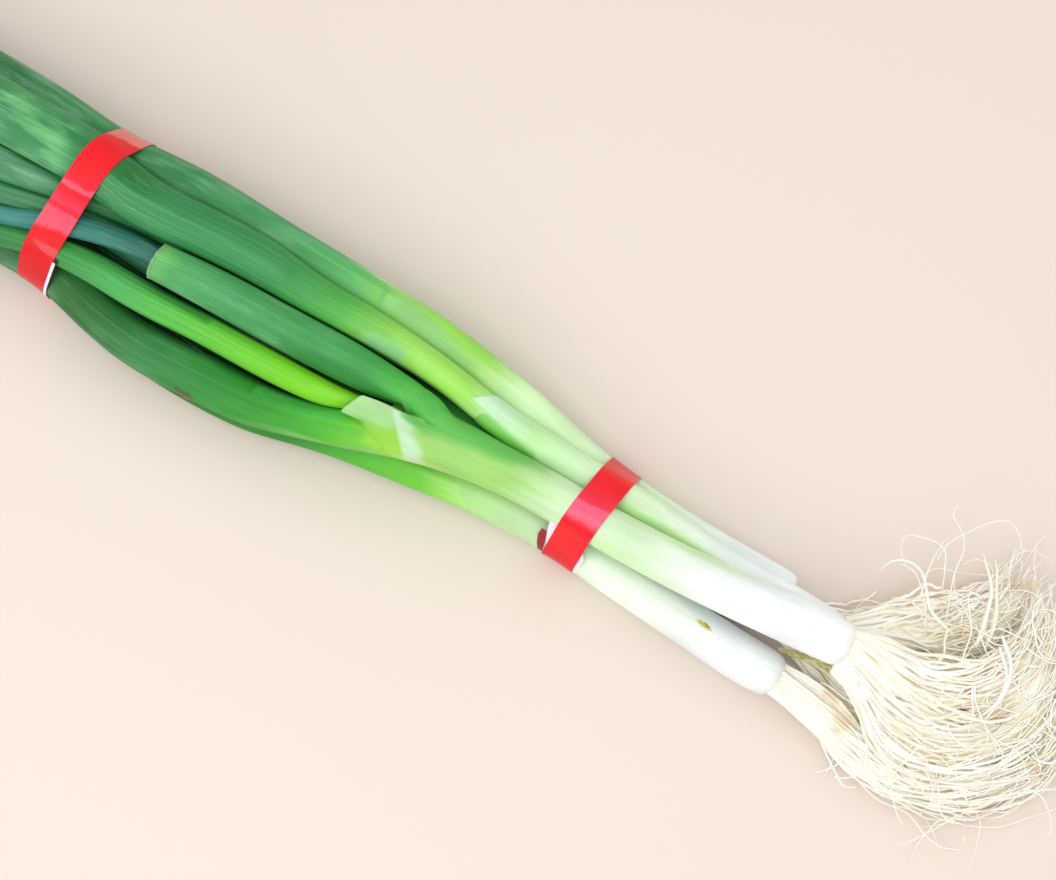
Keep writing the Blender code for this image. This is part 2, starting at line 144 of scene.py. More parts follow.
class Finish:
    # a material in the making, with a short way to add each kind of node that it needs
    def __init__(self, name):
        self.material = bpy.data.materials.new(name)
        self.material.use_nodes = True
        self.tree = self.material.node_tree
        self.shader = self.tree.nodes["Principled BSDF"]

    def fill(self, node, inputs):
        for key, value in inputs.items():
            if isinstance(value, bpy.types.NodeSocket):
                self.tree.links.new(value, node.inputs[key])
            else:
                node.inputs[key].default_value = value

    def add(self, kind, inputs, **settings):
        node = self.tree.nodes.new("ShaderNode" + kind)
        for key, value in settings.items():
            setattr(node, key, value)
        self.fill(node, inputs)
        return node

    def attribute(self, name, output="Fac"):
        return self.add("Attribute", {}, attribute_name=name).outputs[output]

    def objectPlace(self):
        return self.add("TexCoord", {}).outputs["Object"]

    def calc(self, operation, *values):
        return self.add("Math", dict(enumerate(values)), operation=operation).outputs[0]

    def plus(self, first, second):
        return self.calc("ADD", first, second)

    def times(self, first, *others):
        for other in others:
            first = self.calc("MULTIPLY", first, other)
        return first

    def between(self, value, low, high, toLow=0.0, toHigh=1.0, kind="SMOOTHSTEP"):
        inputs = {0: value, 1: low, 2: high, 3: toLow, 4: toHigh}
        return self.add("MapRange", inputs, interpolation_type=kind).outputs[0]

    def noise(self, vector, perMetre, detail=2.0, seed=0.0):
        mapped = self.add("Mapping", {"Vector": vector, "Scale": perMetre, "Location": (seed, seed * 0.7, 0)})
        return self.add("TexNoise", {"Vector": mapped.outputs[0], "Scale": 1.0, "Detail": detail}).outputs[0]

    def mix(self, factor, first, second, blend="MIX"):
        inputs = {0: factor, 6: first, 7: second}
        return self.add("Mix", inputs, data_type="RGBA", blend_type=blend).outputs[2]

    def shaded(self, colour, tone):
        grey = self.add("CombineColor", {0: tone, 1: tone, 2: tone}).outputs[0]
        return self.mix(1.0, colour, grey, "MULTIPLY")

    def ramp(self, factor, stops, low=0.0, high=1.0):
        node = self.add("ValToRGB", {0: factor})
        elements = node.color_ramp.elements
        while len(elements) > 1:
            elements.remove(elements[-1])
        for index, (where, *colour) in enumerate(stops):
            position = (where - low) / (high - low)
            element = elements[0] if index == 0 else elements.new(position)
            element.position = position
            element.color = srgb(*colour)
        return node.outputs[0]

    def close(self, colour, height, depth, strength, sockets):
        # joins the colour and the relief to the shader, and sets its other sockets
        bump = self.add("Bump", {"Height": height, "Distance": depth * mm, "Strength": strength})
        self.fill(self.shader, {"Base Color": colour, "Normal": bump.outputs[0], **sockets})
        return self.material


makeCamera(camera)
makeFloor(floor)
makeLights()
print("camera, floor and light are set")


# helpers for modelling

def pick(piece):
    bpy.ops.object.select_all(action="DESELECT")
    piece.select_set(True)
    bpy.context.view_layer.objects.active = piece


@contextmanager
def editing(piece):
    pick(piece)
    bpy.ops.object.mode_set(mode="EDIT")
    yield
    bpy.ops.object.mode_set(mode="OBJECT")


def faceOutwards(piece):
    with editing(piece):
        bpy.ops.mesh.select_all(action="SELECT")
        bpy.ops.mesh.normals_make_consistent(inside=False)


def faceTowards(mesh, direction):
    if mesh.polygons[0].normal.dot(direction) < 0:
        mesh.flip_normals()


def modify(piece, kind, **settings):
    pick(piece)
    modifier = piece.modifiers.new(kind.title(), kind)
    for key, value in settings.items():
        setattr(modifier, key, value)
    bpy.ops.object.modifier_apply(modifier=modifier.name)


def thicken(piece, thickness):
    modify(piece, "SOLIDIFY", thickness=thickness * mm, offset=-1.0)


def newPiece(name, points, faces):
    mesh = bpy.data.meshes.new(name)
    mesh.from_pydata(points, [], faces)
    piece = bpy.data.objects.new(name, mesh)
    bpy.context.scene.collection.objects.link(piece)
    return piece


def gridFaces(rows, columns, closed=True):
    # the faces of a grid of points, whose last column is joined to the first when it is closed
    faces = []
    for r in range(rows - 1):
        for c in range(columns if closed else columns - 1):
            here, beside = r * columns + c, r * columns + (c + 1) % columns
            faces.append((here, beside, beside + columns, here + columns))
    return faces


def finishPiece(piece, material, slot, *replaced, sharp=None):
    # sharp is the angle in degrees past which an edge stays sharp
    piece.data.materials.append(material)
    pick(piece)
    if sharp:
        bpy.ops.object.shade_smooth_by_angle(angle=math.radians(sharp))
    else:
        bpy.ops.object.shade_smooth()
    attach(piece, "root")
    if replaced:
        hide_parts(*replaced)


def pointsOf(mesh):
    flat = np.empty(len(mesh.vertices) * 3, np.float32)
    mesh.vertices.foreach_get("co", flat)
    return flat.reshape(-1, 3).astype(float)


def setPoints(mesh, points):
    mesh.vertices.foreach_set("co", points.astype(np.float32).ravel())
    mesh.update()


# by how many numbers a vertex has
attributeKinds = {1: ("FLOAT", "value"), 3: ("FLOAT_VECTOR", "vector"), 4: ("FLOAT_COLOR", "color")}


def writeAttribute(mesh, name, values):
    kind, field = attributeKinds[values.size // len(values)]
    layer = mesh.attributes.new(name, kind, "POINT")
    layer.data.foreach_set(field, values.astype(np.float32).ravel())


def copyOfNode(node, name):
    # the CAD node stays as it is; the copy is merged and turned back into quads
    pick(nodes[node])
    bpy.ops.object.duplicate()
    piece = bpy.context.active_object
    piece.name = name
    piece.data.name = name
    del piece["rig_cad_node"]
    piece.data.materials.clear()
    with editing(piece):
        bpy.ops.mesh.select_all(action="SELECT")
        bpy.ops.mesh.remove_doubles(threshold=0.01 * mm)
        bpy.ops.mesh.tris_convert_to_quads(face_threshold=math.radians(60), shape_threshold=math.radians(60))
    return piece


def smooth(value, low, high):
    t = np.clip((value - low) / (high - low), 0, 1)
    return t * t * (3 - 2 * t)


def shared(values, share):
    # the value at a share of the way through evenly spaced values
    values = np.atleast_1d(values).astype(float)
    return np.interp(share, np.linspace(0, 1, len(values)), values)


def columnsAt(x, xs, table):
    return np.column_stack([np.interp(x, xs, column) for column in table.T])


angles = np.linspace(-math.pi, math.pi, 97)[:-1]   # where an outline is measured round a tube


def radiusAt(around):
    # the reach at each angle of an outline, from its points round the middle
    turn = np.arctan2(around[:, 1], around[:, 0])
    order = np.argsort(turn)
    distance = np.hypot(around[:, 0], around[:, 1])
    return np.interp(angles, turn[order], distance[order], period=fullTurn)


class Course:
    # the middle line of a CAD tube and its outline round it, at every section
    def __init__(self, node):
        points = pointsOf(nodes[node].data)
        self.x = np.unique(np.round(points[:, 0], 5))
        rings = [
            np.unique(np.round(points[np.abs(points[:, 0] - x) < 0.02 * mm, 1:], 6), axis=0) for x in self.x
        ]
        self.middle = np.array([ring.mean(axis=0) for ring in rings])
        self.radius = np.array([radiusAt(ring - ring.mean(axis=0)) for ring in rings])

    def middleAt(self, x):
        return columnsAt(x, self.x, self.middle)

    def outlineAt(self, x):
        radius = columnsAt([x], self.x, self.radius)[0]
        return self.middleAt([x])[0] + np.column_stack([radius * np.cos(angles), radius * np.sin(angles)])


courses = {name: Course(name) for name in nodes if "stalk" in name or "leaf" in name}


# the skin of a stalk or leaf, unless its own dictionary says otherwise
usualSkin = {
    "roughness": 0.4, "shine": 0.3, "glow": 0.08, "bump": 0.12, "streak": 26, "vein": 0.10, "blotch": 0.08,
    "bloom": 0, "bloomFrom": (-60, -150), "bloomColour": (168, 205, 190), "waxRough": 0.3,
    "flecks": 0, "fleckFrom": (-60, -170), "fleckColour": (150, 196, 172),
    "spots": [], "patches": [],
}
grain = {
    # noises in the skin: how many to the metre along, across and up, their detail and their seed
    "streak": ((11, 240, 240), 3.0, 0), "blotch": ((38, 110, 110), 3.0, 3),
    "vein": ((14, 1500, 1500), 2.0, 5), "fleck": ((70, 2600, 2600), 3.0, 7),
    "cloud": ((45, 170, 170), 4.0, 9), "thread": ((30, 2600, 2600), 2.0, 11),
}


def leafMaterial(name, look):
    # the colour runs along the leaf in streaks, with veins, a waxy bloom and pale flecks
    look = {**usualSkin, **look}
    finish = Finish(name)
    fibre = finish.attribute("fibre", "Vector")
    lengthwise, _, up = finish.add("SeparateXYZ", {0: fibre}).outputs

    def grown(kind):
        perMetre, detail, extra = grain[kind]
        return finish.noise(fibre, perMetre, detail, look["seed"] + extra)

    def past(start, end, least=0.0):
        # rises to 1 between two places along the bunch
        return finish.between(lengthwise, home.x + start * mm, home.x + end * mm, least)

    streak, blotch, vein, fleck = (grown(kind) for kind in ("streak", "blotch", "vein", "fleck"))
    stops = sorted(look["stops"])
    low, high = stops[0][0] - 1, stops[-1][0] + 1
    shift = finish.times(finish.calc("SUBTRACT", streak, 0.5), look["streak"] * mm)
    start, end = home.x + low * mm, home.x + high * mm
    course = finish.between(finish.plus(lengthwise, shift), start, end, kind="LINEAR")
    colour = finish.ramp(course, stops, low, high)
    # the painted patches, some of them painted shade in creases and between stalks, whose edges are drawn out
    # by the streaks
    paint = finish.add("Attribute", {}, attribute_name="paint").outputs
    edge = finish.times(finish.calc("SUBTRACT", 1.0, paint["Alpha"]), paint["Alpha"])
    drawnOut = finish.between(streak, 0.3, 0.7, -0.88, 0.88)
    cover = finish.plus(paint["Alpha"], finish.times(edge, drawnOut))
    colour = finish.mix(cover, colour, paint["Color"])
    if "mottle" in look:
        bounds, most, tint = look["mottle"]
        cloud = finish.times(finish.between(grown("cloud"), 0.42, 0.62), past(*bounds), most)
        colour = finish.mix(cloud, colour, srgb(*tint))
    # veins and threads, faint on the shaft, over soft blotches
    onLeaf = past(-60, -170, 0.22)
    veins = finish.times(finish.between(vein, 0.38, 0.62, -1.0, 0.6), look["vein"])
    threads = finish.times(finish.between(grown("thread"), 0.56, 0.72, 0.0, 0.22), past(-90, -150))
    lines = finish.plus(1.0, finish.times(finish.plus(veins, threads), onLeaf))
    tone = finish.between(blotch, 0.3, 0.7, 1 - look["blotch"], 1 + look["blotch"])
    colour = finish.shaded(colour, finish.times(lines, tone))
    roughness = look["roughness"]
    if look["bloom"]:
        patchy, drawn = finish.between(blotch, 0.4, 0.68), finish.between(streak, 0.35, 0.7)
        wax = finish.times(patchy, drawn, past(*look["bloomFrom"]), look["bloom"])
        colour = finish.mix(wax, colour, srgb(*look["bloomColour"]))
        roughness = finish.calc("MULTIPLY_ADD", wax, look["waxRough"], roughness)
    if look["flecks"]:
        thin, patchy = finish.between(fleck, 0.58, 0.68), finish.between(blotch, 0.45, 0.6)
        scratch = finish.times(thin, past(*look["fleckFrom"]), patchy, look["flecks"])
        colour = finish.mix(scratch, colour, srgb(*look["fleckColour"]))
    for where, length, width, turn, tint in look["spots"]:
        # a small ragged blemish, longer than wide
        spot = finish.add("Mapping", {
            "Vector": finish.objectPlace(), "Location": place(*where), "Rotation": (0, 0, math.radians(turn)),
            "Scale": (length * mm, width * mm, 1.0),
        }, vector_type="TEXTURE")
        flat = finish.add("VectorMath", {0: spot.outputs[0], 1: (1, 1, 0)}, operation="MULTIPLY")
        far = finish.add("VectorMath", {0: flat.outputs[0]}, operation="LENGTH").outputs["Value"]
        far = finish.plus(far, finish.times(finish.calc("SUBTRACT", fleck, 0.5), 1.6))
        cover = finish.times(finish.between(far, 1.1, 0.6), finish.calc("GREATER_THAN", up, 0.0))
        colour = finish.mix(cover, colour, srgb(*tint))
    height = finish.times(finish.plus(vein, streak), onLeaf)
    return finish.close(colour, height, look["bump"], 1.0, {
        "Roughness": roughness, "Specular IOR Level": look["shine"], "Subsurface Weight": look["glow"],
        "Subsurface Radius": (0.6, 1.0, 0.4), "Subsurface Scale": 2.5 * mm,
    })


def patch(colour, line, width, soft, amount=1.0, **more):
    # a colour painted near a line of places seen from above; its width and amount can change
    # evenly from the line's start to its end
    return {"colour": colour, "line": line, "width": width, "soft": soft, "amount": amount, **more}


# colours along each stalk and leaf, from the roots to the tip
white = (237, 243, 245)
shaft = [(110, 237, 235, 222), (95, 238, 242, 240), (60, *white), (38, 228, 241, 226), (15, 208, 233, 192)]
# the rim of C's lower leaf
lowerRim = [(-128, -33), (-108, -28), (-90, -25), (-82, -22.4), (-72, -19), (-58, -15), (-44, -12)]
yellowPatch = patch(
    (150, 212, 64), [(-79, -15), (-73, -14.5), (-67.5, -16.5)], (0.3, 2.0, 2.6), 4.5, (0.5, 0.8, 0.8),
)
skins = {
    "onion_a_stalk": {
        "seed": 1.0, "vein": 0.16, "bloom": 0.4, "bloomFrom": (-90, -160),
        "flecks": 0.6, "fleckFrom": (-150, -205),
        "stops": shaft + [
            (-12, 212, 240, 195), (-45, 206, 240, 182), (-66, 166, 223, 104), (-88, 146, 216, 96),
            (-112, 92, 178, 98), (-140, 62, 152, 84), (-180, 52, 130, 74), (-200, 54, 130, 78),
            (-228, 52, 134, 70), (-258, 34, 108, 50), (-300, 44, 116, 64), (-392, 78, 140, 70),
        ],
        "patches": [
            patch((150, 218, 84), [(-40, 28), (-70, 33), (-96, 36)], (0.6, 2.4, 1), 5, (0, 0.9, 0.9, 0.7)),
            patch((144, 206, 130), [(-96, 30), (-80, 27), (-62, 23)], (1.2, 1.8, 0.6), 4.5, 0.8),
            patch((206, 226, 180), [(-122, 37), (-100, 36), (-84, 34.6)], 0.2, 1.6, (0, 0.7, 0)),
        ],
        "mottle": ((-222, -240), 0.5, (84, 160, 110)),
    },
    "onion_b_stalk": {
        "seed": 2.0, "vein": 0.14, "bloom": 0.3, "bloomFrom": (-208, -225),
        "flecks": 0.5, "fleckFrom": (-170, -200),
        "stops": shaft + [
            (-12, 205, 241, 192), (-45, 186, 230, 160), (-58, 154, 216, 90), (-85, 147, 213, 90),
            (-108, 82, 174, 72), (-135, 54, 138, 74), (-180, 50, 130, 76), (-197, 34, 112, 50),
            (-212, 46, 126, 68), (-230, 62, 140, 88), (-260, 62, 134, 84), (-398, 70, 136, 70),
        ],
        "patches": [
            patch((132, 198, 130), [(-95, 12.8), (-85, 14.2)], 1.0, 4, 0.75),
            # painted shade: a greener band in the valley between B and C
            patch((192, 232, 162), [(6, 6), (35, 5.5), (70, 4)], (1.6, 1.4, 0.6), 4, (1, 0.9, 0)),
            patch((72, 150, 96), [(-205, 14), (-190, 13), (-165, 17), (-135, 19)], (1, 2, 2, 1), 5, 0.55),
        ],
        "mottle": ((-216, -226), 0.9, (104, 182, 112)),
    },
    "onion_c_stalk": {
        "seed": 3.0, "vein": 0.14, "bloom": 0.22, "bloomFrom": (-110, -220),
        "stops": shaft + [
            (-10, 206, 240, 194), (-35, 154, 216, 108), (-62, 150, 214, 96), (-80, 112, 198, 56),
            (-92, 80, 180, 48), (-106, 58, 160, 42), (-120, 52, 148, 44), (-135, 47, 138, 52),
            (-165, 50, 126, 62), (-180, 46, 113, 52), (-200, 44, 106, 46), (-240, 48, 110, 62),
            (-394, 70, 122, 66),
        ],
        "patches": [
            # painted shade: greener bands in the valleys beside B and beside D
            patch((196, 234, 170), [(6, 6.5), (35, 6.5), (72, 8.5)], (0.8, 0.8, 0.4), 3.6, (1, 0.8, 0)),
            patch((200, 236, 176), [(6, -9.5), (44, -9.5)], (1.4, 0.2), 3, (1, 0)),
            yellowPatch,
            patch((76, 172, 84), [(-92, -14), (-106, -17), (-122, -20)], (1, 2, 1), 3, 0.6),
            patch((150, 204, 130), lowerRim, 0.2, 1.3, (0, 0.6, 0.6)),
            patch((92, 76, 44), [(-143, -33.6), (-148, -33.8)], 0.5, 0.8, 0.9),
        ],
    },
    "onion_d_stalk": {
        "seed": 4.0, "vein": 0.14,
        "stops": [
            (110, 237, 235, 222), (95, 238, 242, 240), (60, *white), (34, 234, 243, 231),
            (15, 234, 250, 228), (-8, 214, 242, 200), (-40, 184, 226, 158), (-50, 156, 220, 104),
            (-62, 106, 194, 52), (-84, 84, 178, 56), (-110, 50, 138, 44), (-165, 46, 122, 56),
            (-200, 48, 114, 52), (-388, 64, 116, 58),
        ],
        # place, length, width, turn in degrees, colour
        "spots": [
            ((52.5, -13, 16), 3.6, 0.9, -8, (196, 186, 70)),
            ((53.6, -12.6, 16), 1.6, 0.45, -20, (160, 128, 50)),
        ],
    },
    "onion_e_stalk": {
        "seed": 5.0,
        "stops": shaft + [
            (-15, 150, 210, 110), (-40, 60, 140, 60), (-80, 34, 104, 54), (-150, 40, 108, 62),
            (-200, 58, 132, 92), (-225, 70, 138, 92), (-385, 62, 130, 78),
        ],
    },
    "onion_a_leaf_2": {
        "seed": 6.0, "bloom": 0.3,
        "stops": [(-30, 170, 224, 130), (-90, 84, 162, 74), (-140, 42, 120, 62), (-382, 50, 112, 60)],
    },
    "onion_b_leaf_2": {
        "seed": 7.0, "bloom": 1.0, "bloomFrom": (-218, -240), "bloomColour": (176, 208, 194),
        "stops": [
            (-52, 160, 220, 110), (-100, 44, 120, 58), (-200, 44, 118, 66), (-230, 72, 138, 96),
            (-376, 76, 140, 86),
        ],
    },
    "onion_b_leaf_3": {
        "seed": 8.0,
        "stops": [
            (-60, 120, 190, 90), (-110, 36, 100, 52), (-215, 46, 112, 56), (-240, 66, 150, 84),
            (-386, 50, 112, 60),
        ],
    },
    "onion_c_leaf_2": {
        "seed": 9.0, "vein": 0.10, "blotch": 0.04,
        "stops": [
            (-81, 128, 206, 34), (-115, 114, 202, 36), (-150, 94, 188, 62), (-180, 76, 172, 84),
            (-215, 58, 134, 66), (-250, 54, 118, 68), (-380, 60, 114, 62),
        ],
        "patches": [
            patch((58, 140, 60), [(-215, -6), (-180, -6), (-150, -8)], (2, 1.5, 0.3), 2.5, 0.8),
        ],
    },
    "onion_c_leaf_3": {
        "seed": 10.0, "bloom": 0.2, "bloomFrom": (-80, -120), "cut": 0.7, "tuck": 0.4,
        "stops": [
            (-60, 80, 174, 72), (-76, 76, 176, 66), (-92, 58, 150, 70), (-140, 62, 146, 78),
            (-166, 76, 162, 90), (-175, 110, 184, 104),
        ],
        "patches": [
            # painted shade: dark green along the leaf's lower edge, in the crease where it leaves the sheath
            patch((34, 120, 44), [(-74, -3), (-92, -2), (-120, -3)], (1, 1.6, 0.2), 3, 0.6),
            patch((176, 214, 160), [(-175.2, -6), (-175.2, 12)], 0.6, 0.9, 0.8, allRound=True),
        ],
    },
    "onion_d_leaf_2": {
        "seed": 11.0,
        "stops": [(-54, 130, 200, 90), (-100, 38, 104, 50), (-376, 42, 98, 52)],
    },
    "onion_e_leaf_2": {
        "seed": 12.0,
        "stops": [(-66, 110, 190, 80), (-120, 28, 84, 48), (-200, 26, 82, 56), (-290, 44, 102, 58)],
    },
    "onion_e_leaf_3": {
        "seed": 13.0, "bloom": 0.4, "bloomFrom": (-150, -200), "bloomColour": (112, 168, 168),
        "stops": [
            (-110, 26, 76, 54), (-165, 34, 92, 70), (-196, 50, 122, 104), (-215, 48, 120, 110),
            (-352, 52, 112, 90),
        ],
    },
}

skinShape = {
    "subdivisions": 2,
    # ribs: how many round the leaf, their height, and the mm along it in which they drift by a radian
    "ribs": ((9, 0.10, 70), (14, 0.07, 95), (23, 0.05, 120)),
    # a slower swelling: its height, and the mm along in which it rises and in which it turns, by a radian
    "swelling": (0.22, 17, 45),
    # how strong both are at places along the bunch, and the radius under which they fade
    "strength": ((-190, -100, -40, 60), (1.0, 0.5, 0.2, 0.1)), "thin": 4,
    # how far a hidden end narrows
    "tucked": 10,
}


def nearLine(where, line):
    # distance from a line of places, seen from above, how far along it, and which side
    line = np.array(line, float)
    lengths = np.linalg.norm(np.diff(line[:, :2], axis=0), axis=1)
    starts = np.concatenate([[0], np.cumsum(lengths)])
    best, share, left = np.full(len(where), 1e9), np.zeros(len(where)), np.zeros(len(where), bool)
    for k, (first, second) in enumerate(zip(line[:, :2], line[1:, :2])):
        step = second - first
        t = np.clip(((where - first) @ step) / (step @ step), 0, 1)
        distance = np.linalg.norm(where - (first + t[:, None] * step), axis=1)
        closer = distance < best
        best[closer] = distance[closer]
        share[closer] = (starts[k] + t[closer] * lengths[k]) / starts[-1]
        away = where[closer] - first
        left[closer] = step[0] * away[:, 1] - step[1] * away[:, 0] > 0
    return best, share, left


def writePaint(mesh, points, local, patches):
    # a colour over the leaf's own, and how much of it covers each point of its upper side
    where, onTop = (points[:, :2] - np.array(home[:2])) / mm, smooth(local[:, 2] / mm, -1.5, 1.5)
    colour, cover = np.tile(np.array(srgb(*white)), (len(points), 1)), np.zeros(len(points))
    for spot in patches:
        distance, share, left = nearLine(where, spot["line"])
        width, soft = shared(spot["width"], share), np.full(len(where), float(spot["soft"]))
        if "sharp" in spot:
            # the patch ends at once on the right of its line
            width, soft = np.where(left, width, 0), np.where(left, soft, spot["sharp"])
        amount = shared(spot["amount"], share) * (1 - smooth(distance, width, width + soft))
        amount = amount * (1 if "allRound" in spot else onTop)
        fresh = np.maximum(amount + cover * (1 - amount), 1e-6)
        tint = np.array(srgb(*spot["colour"]))
        colour = (tint * amount[:, None] + colour * (cover * (1 - amount))[:, None]) / fresh[:, None]
        cover = np.where(fresh > 1e-5, fresh, 0)
    writeAttribute(mesh, "paint", np.column_stack([colour[:, :3], cover]))


def ribbed(points, local, seed):
    # low ribs along the leaf, which drift a little on the way and fade out on the shaft
    turn = np.arctan2(local[:, 2], local[:, 1])
    distance = np.maximum(np.hypot(local[:, 1], local[:, 2]), 1e-6)
    where = (points[:, 0] - home.x) / mm
    out = np.zeros(len(points))
    for k, (count, height, drift) in enumerate(skinShape["ribs"]):
        out += height * np.cos(count * turn + seed * (k + 1) + where / drift)
    height, rise, drift = skinShape["swelling"]
    out += height * np.sin(where / rise + seed) * np.cos(2 * turn + seed + where / drift)
    out *= np.interp(where, *skinShape["strength"]) * mm * np.clip(distance / (skinShape["thin"] * mm), 0, 1)
    moved = points.copy()
    moved[:, 1:] += local[:, 1:] / distance[:, None] * out[:, None]
    return moved


def openEnd(piece):
    # takes the cap off the end where the leaf was cut
    end = min(v.co.x for v in piece.data.vertices)
    with editing(piece):
        bpy.ops.mesh.select_mode(type="VERT")
        bpy.ops.mesh.select_all(action="DESELECT")
    for vertex in piece.data.vertices:
        vertex.select = vertex.co.x - end < 0.1 * mm
    with editing(piece):
        bpy.ops.mesh.delete(type="ONLY_FACE")


def makeSkin(node, look):
    piece = copyOfNode(node, node.replace("onion_", "skin_"))
    if "cut" in look:
        openEnd(piece)
    modify(piece, "SUBSURF", levels=skinShape["subdivisions"], render_levels=skinShape["subdivisions"])
    points = pointsOf(piece.data)
    # straightened places: along the bunch, and across and up from the middle line
    local = np.column_stack([points[:, 0], points[:, 1:] - courses[node].middleAt(points[:, 0])])
    writeAttribute(piece.data, "fibre", local)
    shaped = ribbed(points, local, look["seed"])
    if "tuck" in look:
        # the hidden end narrows so that the sheath closes over it
        fromEnd = courses[node].x[-1] - points[:, 0]
        narrower = look["tuck"] * (1 - smooth(fromEnd, 0, skinShape["tucked"] * mm))
        shaped[:, 1:] -= local[:, 1:] * narrower[:, None]
    setPoints(piece.data, shaped)
    writePaint(piece.data, points, local, look.get("patches", []))
    if "cut" in look:
        thicken(piece, look["cut"])
    finishPiece(piece, leafMaterial(node + " skin", look), "stalk" if "stalk" in node else "leaf", node)
    return piece


skinPieces = {node: makeSkin(node, look) for node, look in skins.items()}
print("stalks and leaves have their skins:", len(skinPieces))


# sheaths wrap a shaft and end in a mouth where its leaves come out
deep = -1.1   # where a sheath ends under its own leaf instead of in a free edge
sheaths = {
    "sheath_c": {
        "members": ("onion_c_stalk", "onion_c_leaf_2", "onion_c_leaf_3"), "seed": 3.0, "rows": 130,
        # across, along where it ends, lift of its edge
        "mouth": [
            (-40, -74, deep), (-20, -76, deep), (-17, -81, deep), (-15.0, -86, deep), (-13.4, -91.4, 0.1),
            (-11.6, -91.2, 0.25), (-9.5, -90, 0.35), (-7, -88.6, 0.35), (-5.2, -87.6, 0.3), (-4.2, -84, 0.2),
            (-3.6, -77, 0.15), (-3.0, -71, 0.1), (-2.4, -69.5, deep), (-0.5, -70, deep), (0.8, -73, deep),
            (2.5, -78, deep), (40, -79, deep),
        ],
        "stops": [
            (4, 206, 232, 190), (-10, 199, 230, 182), (-30, 156, 208, 110), (-45, 148, 202, 104),
            (-62, 150, 204, 100), (-74, 124, 196, 66), (-82, 104, 194, 52), (-90, 82, 182, 48),
            (-105, 58, 160, 40),
        ],
        "patches": [
            patch(
                (98, 186, 84), [(-22, 6.5), (-45, 4.5), (-57, 2), (-63, 0)],
                (0.3, 3.5, 4, 2.6), 5.5, (0.6, 1, 1, 0.9),
            ),
            patch((76, 174, 68), [(-61, 9), (-66, 4), (-72, 2)], (2, 3, 4), 4),
            patch((167, 212, 148), [(-91, -9.5), (-84, -7.4), (-76, -6.6)], (1.8, 2.2, 2.6), 3.6, 0.85),
            yellowPatch,
            patch(
                (190, 224, 184), [(-76.6, -3.0), (-73, -6.8), (-69.4, -10.5), (-66.6, -13.4), (-63.8, -16.6)],
                (0.2, 1.2, 2.4, 2.8, 3), 5, 0.9, sharp=0.7,
            ),
            # painted shade: dark green in the crease between the sheath's rim and the leaves
            patch(
                (28, 96, 42), [(-86, -2.2), (-78, -0.9), (-74, -1.1), (-70, -2.2)],
                1.1, 1.2, (1, 1, 1, 0.6),
            ),
            patch((90, 180, 80), [(-71, -3.4), (-67, -3.6), (-61, -2)], 0.9, 1.4, (0.7, 1, 0.7)),
            patch((196, 226, 146), lowerRim, 0.3, 1.3, (0.4, 0.7, 0.7, 0)),
        ],
    },
    "sheath_b": {
        "members": ("onion_b_stalk",), "seed": 2.0,
        "mouth": [(-40, -68, deep), (8, -61, deep), (10, -58, deep), (12.2, -56, deep), (13.4, -54.6, 0.1),
                  (15.5, -52, 0.25), (19, -48, 0.3), (40, -44, 0.2)],
        "stops": [
            (4, 207, 233, 193), (-12, 198, 232, 183), (-32, 182, 229, 158), (-44, 194, 234, 190),
            (-54, 200, 236, 198), (-63, 168, 224, 132),
        ],
        "patches": [
            patch((130, 204, 92), [(-28, 6), (-46, 8), (-62, 9.5)], (0.5, 1.8, 2), 3),
            patch((158, 217, 100), [(-64, 10), (-58, 12), (-54.5, 14)], (2, 1, 0.2), 3, (1, 0.8, 0.5)),
        ],
    },
    "sheath_d": {
        "members": ("onion_d_stalk",), "seed": 4.0,
        "mouth": [(-40, -34, 0.3), (-18, -38, 0.3), (-15, -43, 0.3), (-11, -46, 0.3), (40, -52, 0.3)],
        "stops": [(4, 210, 235, 197), (-8, 206, 233, 191), (-36, 178, 223, 146), (-52, 150, 212, 104)],
        "patches": [],
    },
}
sheathShape = {
    "step": 1.5, "rows": 90, "thickness": 0.3,
    # lift of a sheath by the mm from its start, under the lower tape
    "rise": ((0, 4, 12), (-0.1, 0.1, 0.16)),
    # mm from its mouth in which it dives under a leaf, and in which its free edge lifts
    "dive": (1, 12), "flare": (0, 7),
}


def hullRadius(points):
    # the tight outline round several tubes at one place, as a middle and a radius at each angle
    corners = points[convex_hull_2d([Vector(p) for p in points])]
    following = np.roll(corners, -1, axis=0)
    cross = corners[:, 0] * following[:, 1] - following[:, 0] * corners[:, 1]
    middle = ((corners + following) * cross[:, None]).sum(axis=0) / (3 * cross.sum())
    t = np.linspace(0, 1, 12, endpoint=False)[:, None, None]
    wrapped = radiusAt((corners * (1 - t) + following * t).reshape(-1, 2) - middle)
    # how far out the tubes themselves reach at each angle
    beside = np.roll(points, -1, axis=0)
    fine = np.vstack([beside * t + points * (1 - t) for t in np.linspace(0, 0.9, 10)]) - middle
    fine = fine[np.tile(np.hypot(*(beside - points).T) < 3 * mm, 10)]
    slot = np.round((np.arctan2(fine[:, 1], fine[:, 0]) - angles[0]) / (angles[1] - angles[0])).astype(int)
    bare = np.zeros(len(angles))
    np.maximum.at(bare, slot % len(angles), np.hypot(fine[:, 0], fine[:, 1]))
    return middle, wrapped, np.minimum(bare, wrapped)


def blurred(table, across, lengthwise):
    # evens out a table a little round its rows and along its columns
    for _ in range(across):
        table = (np.roll(table, 1, axis=1) + 2 * table + np.roll(table, -1, axis=1)) / 4
    for _ in range(lengthwise):
        table[1:-1] = (table[:-2] + 2 * table[1:-1] + table[2:]) / 4
    return table


def hullTables(sections, *blurs):
    # the middle, radius and bare radius of the hull at every section, each evened out in its own way
    tables = zip(*[hullRadius(section) for section in sections])
    return [blurred(np.array(table), *blur) for table, blur in zip(tables, blurs)]


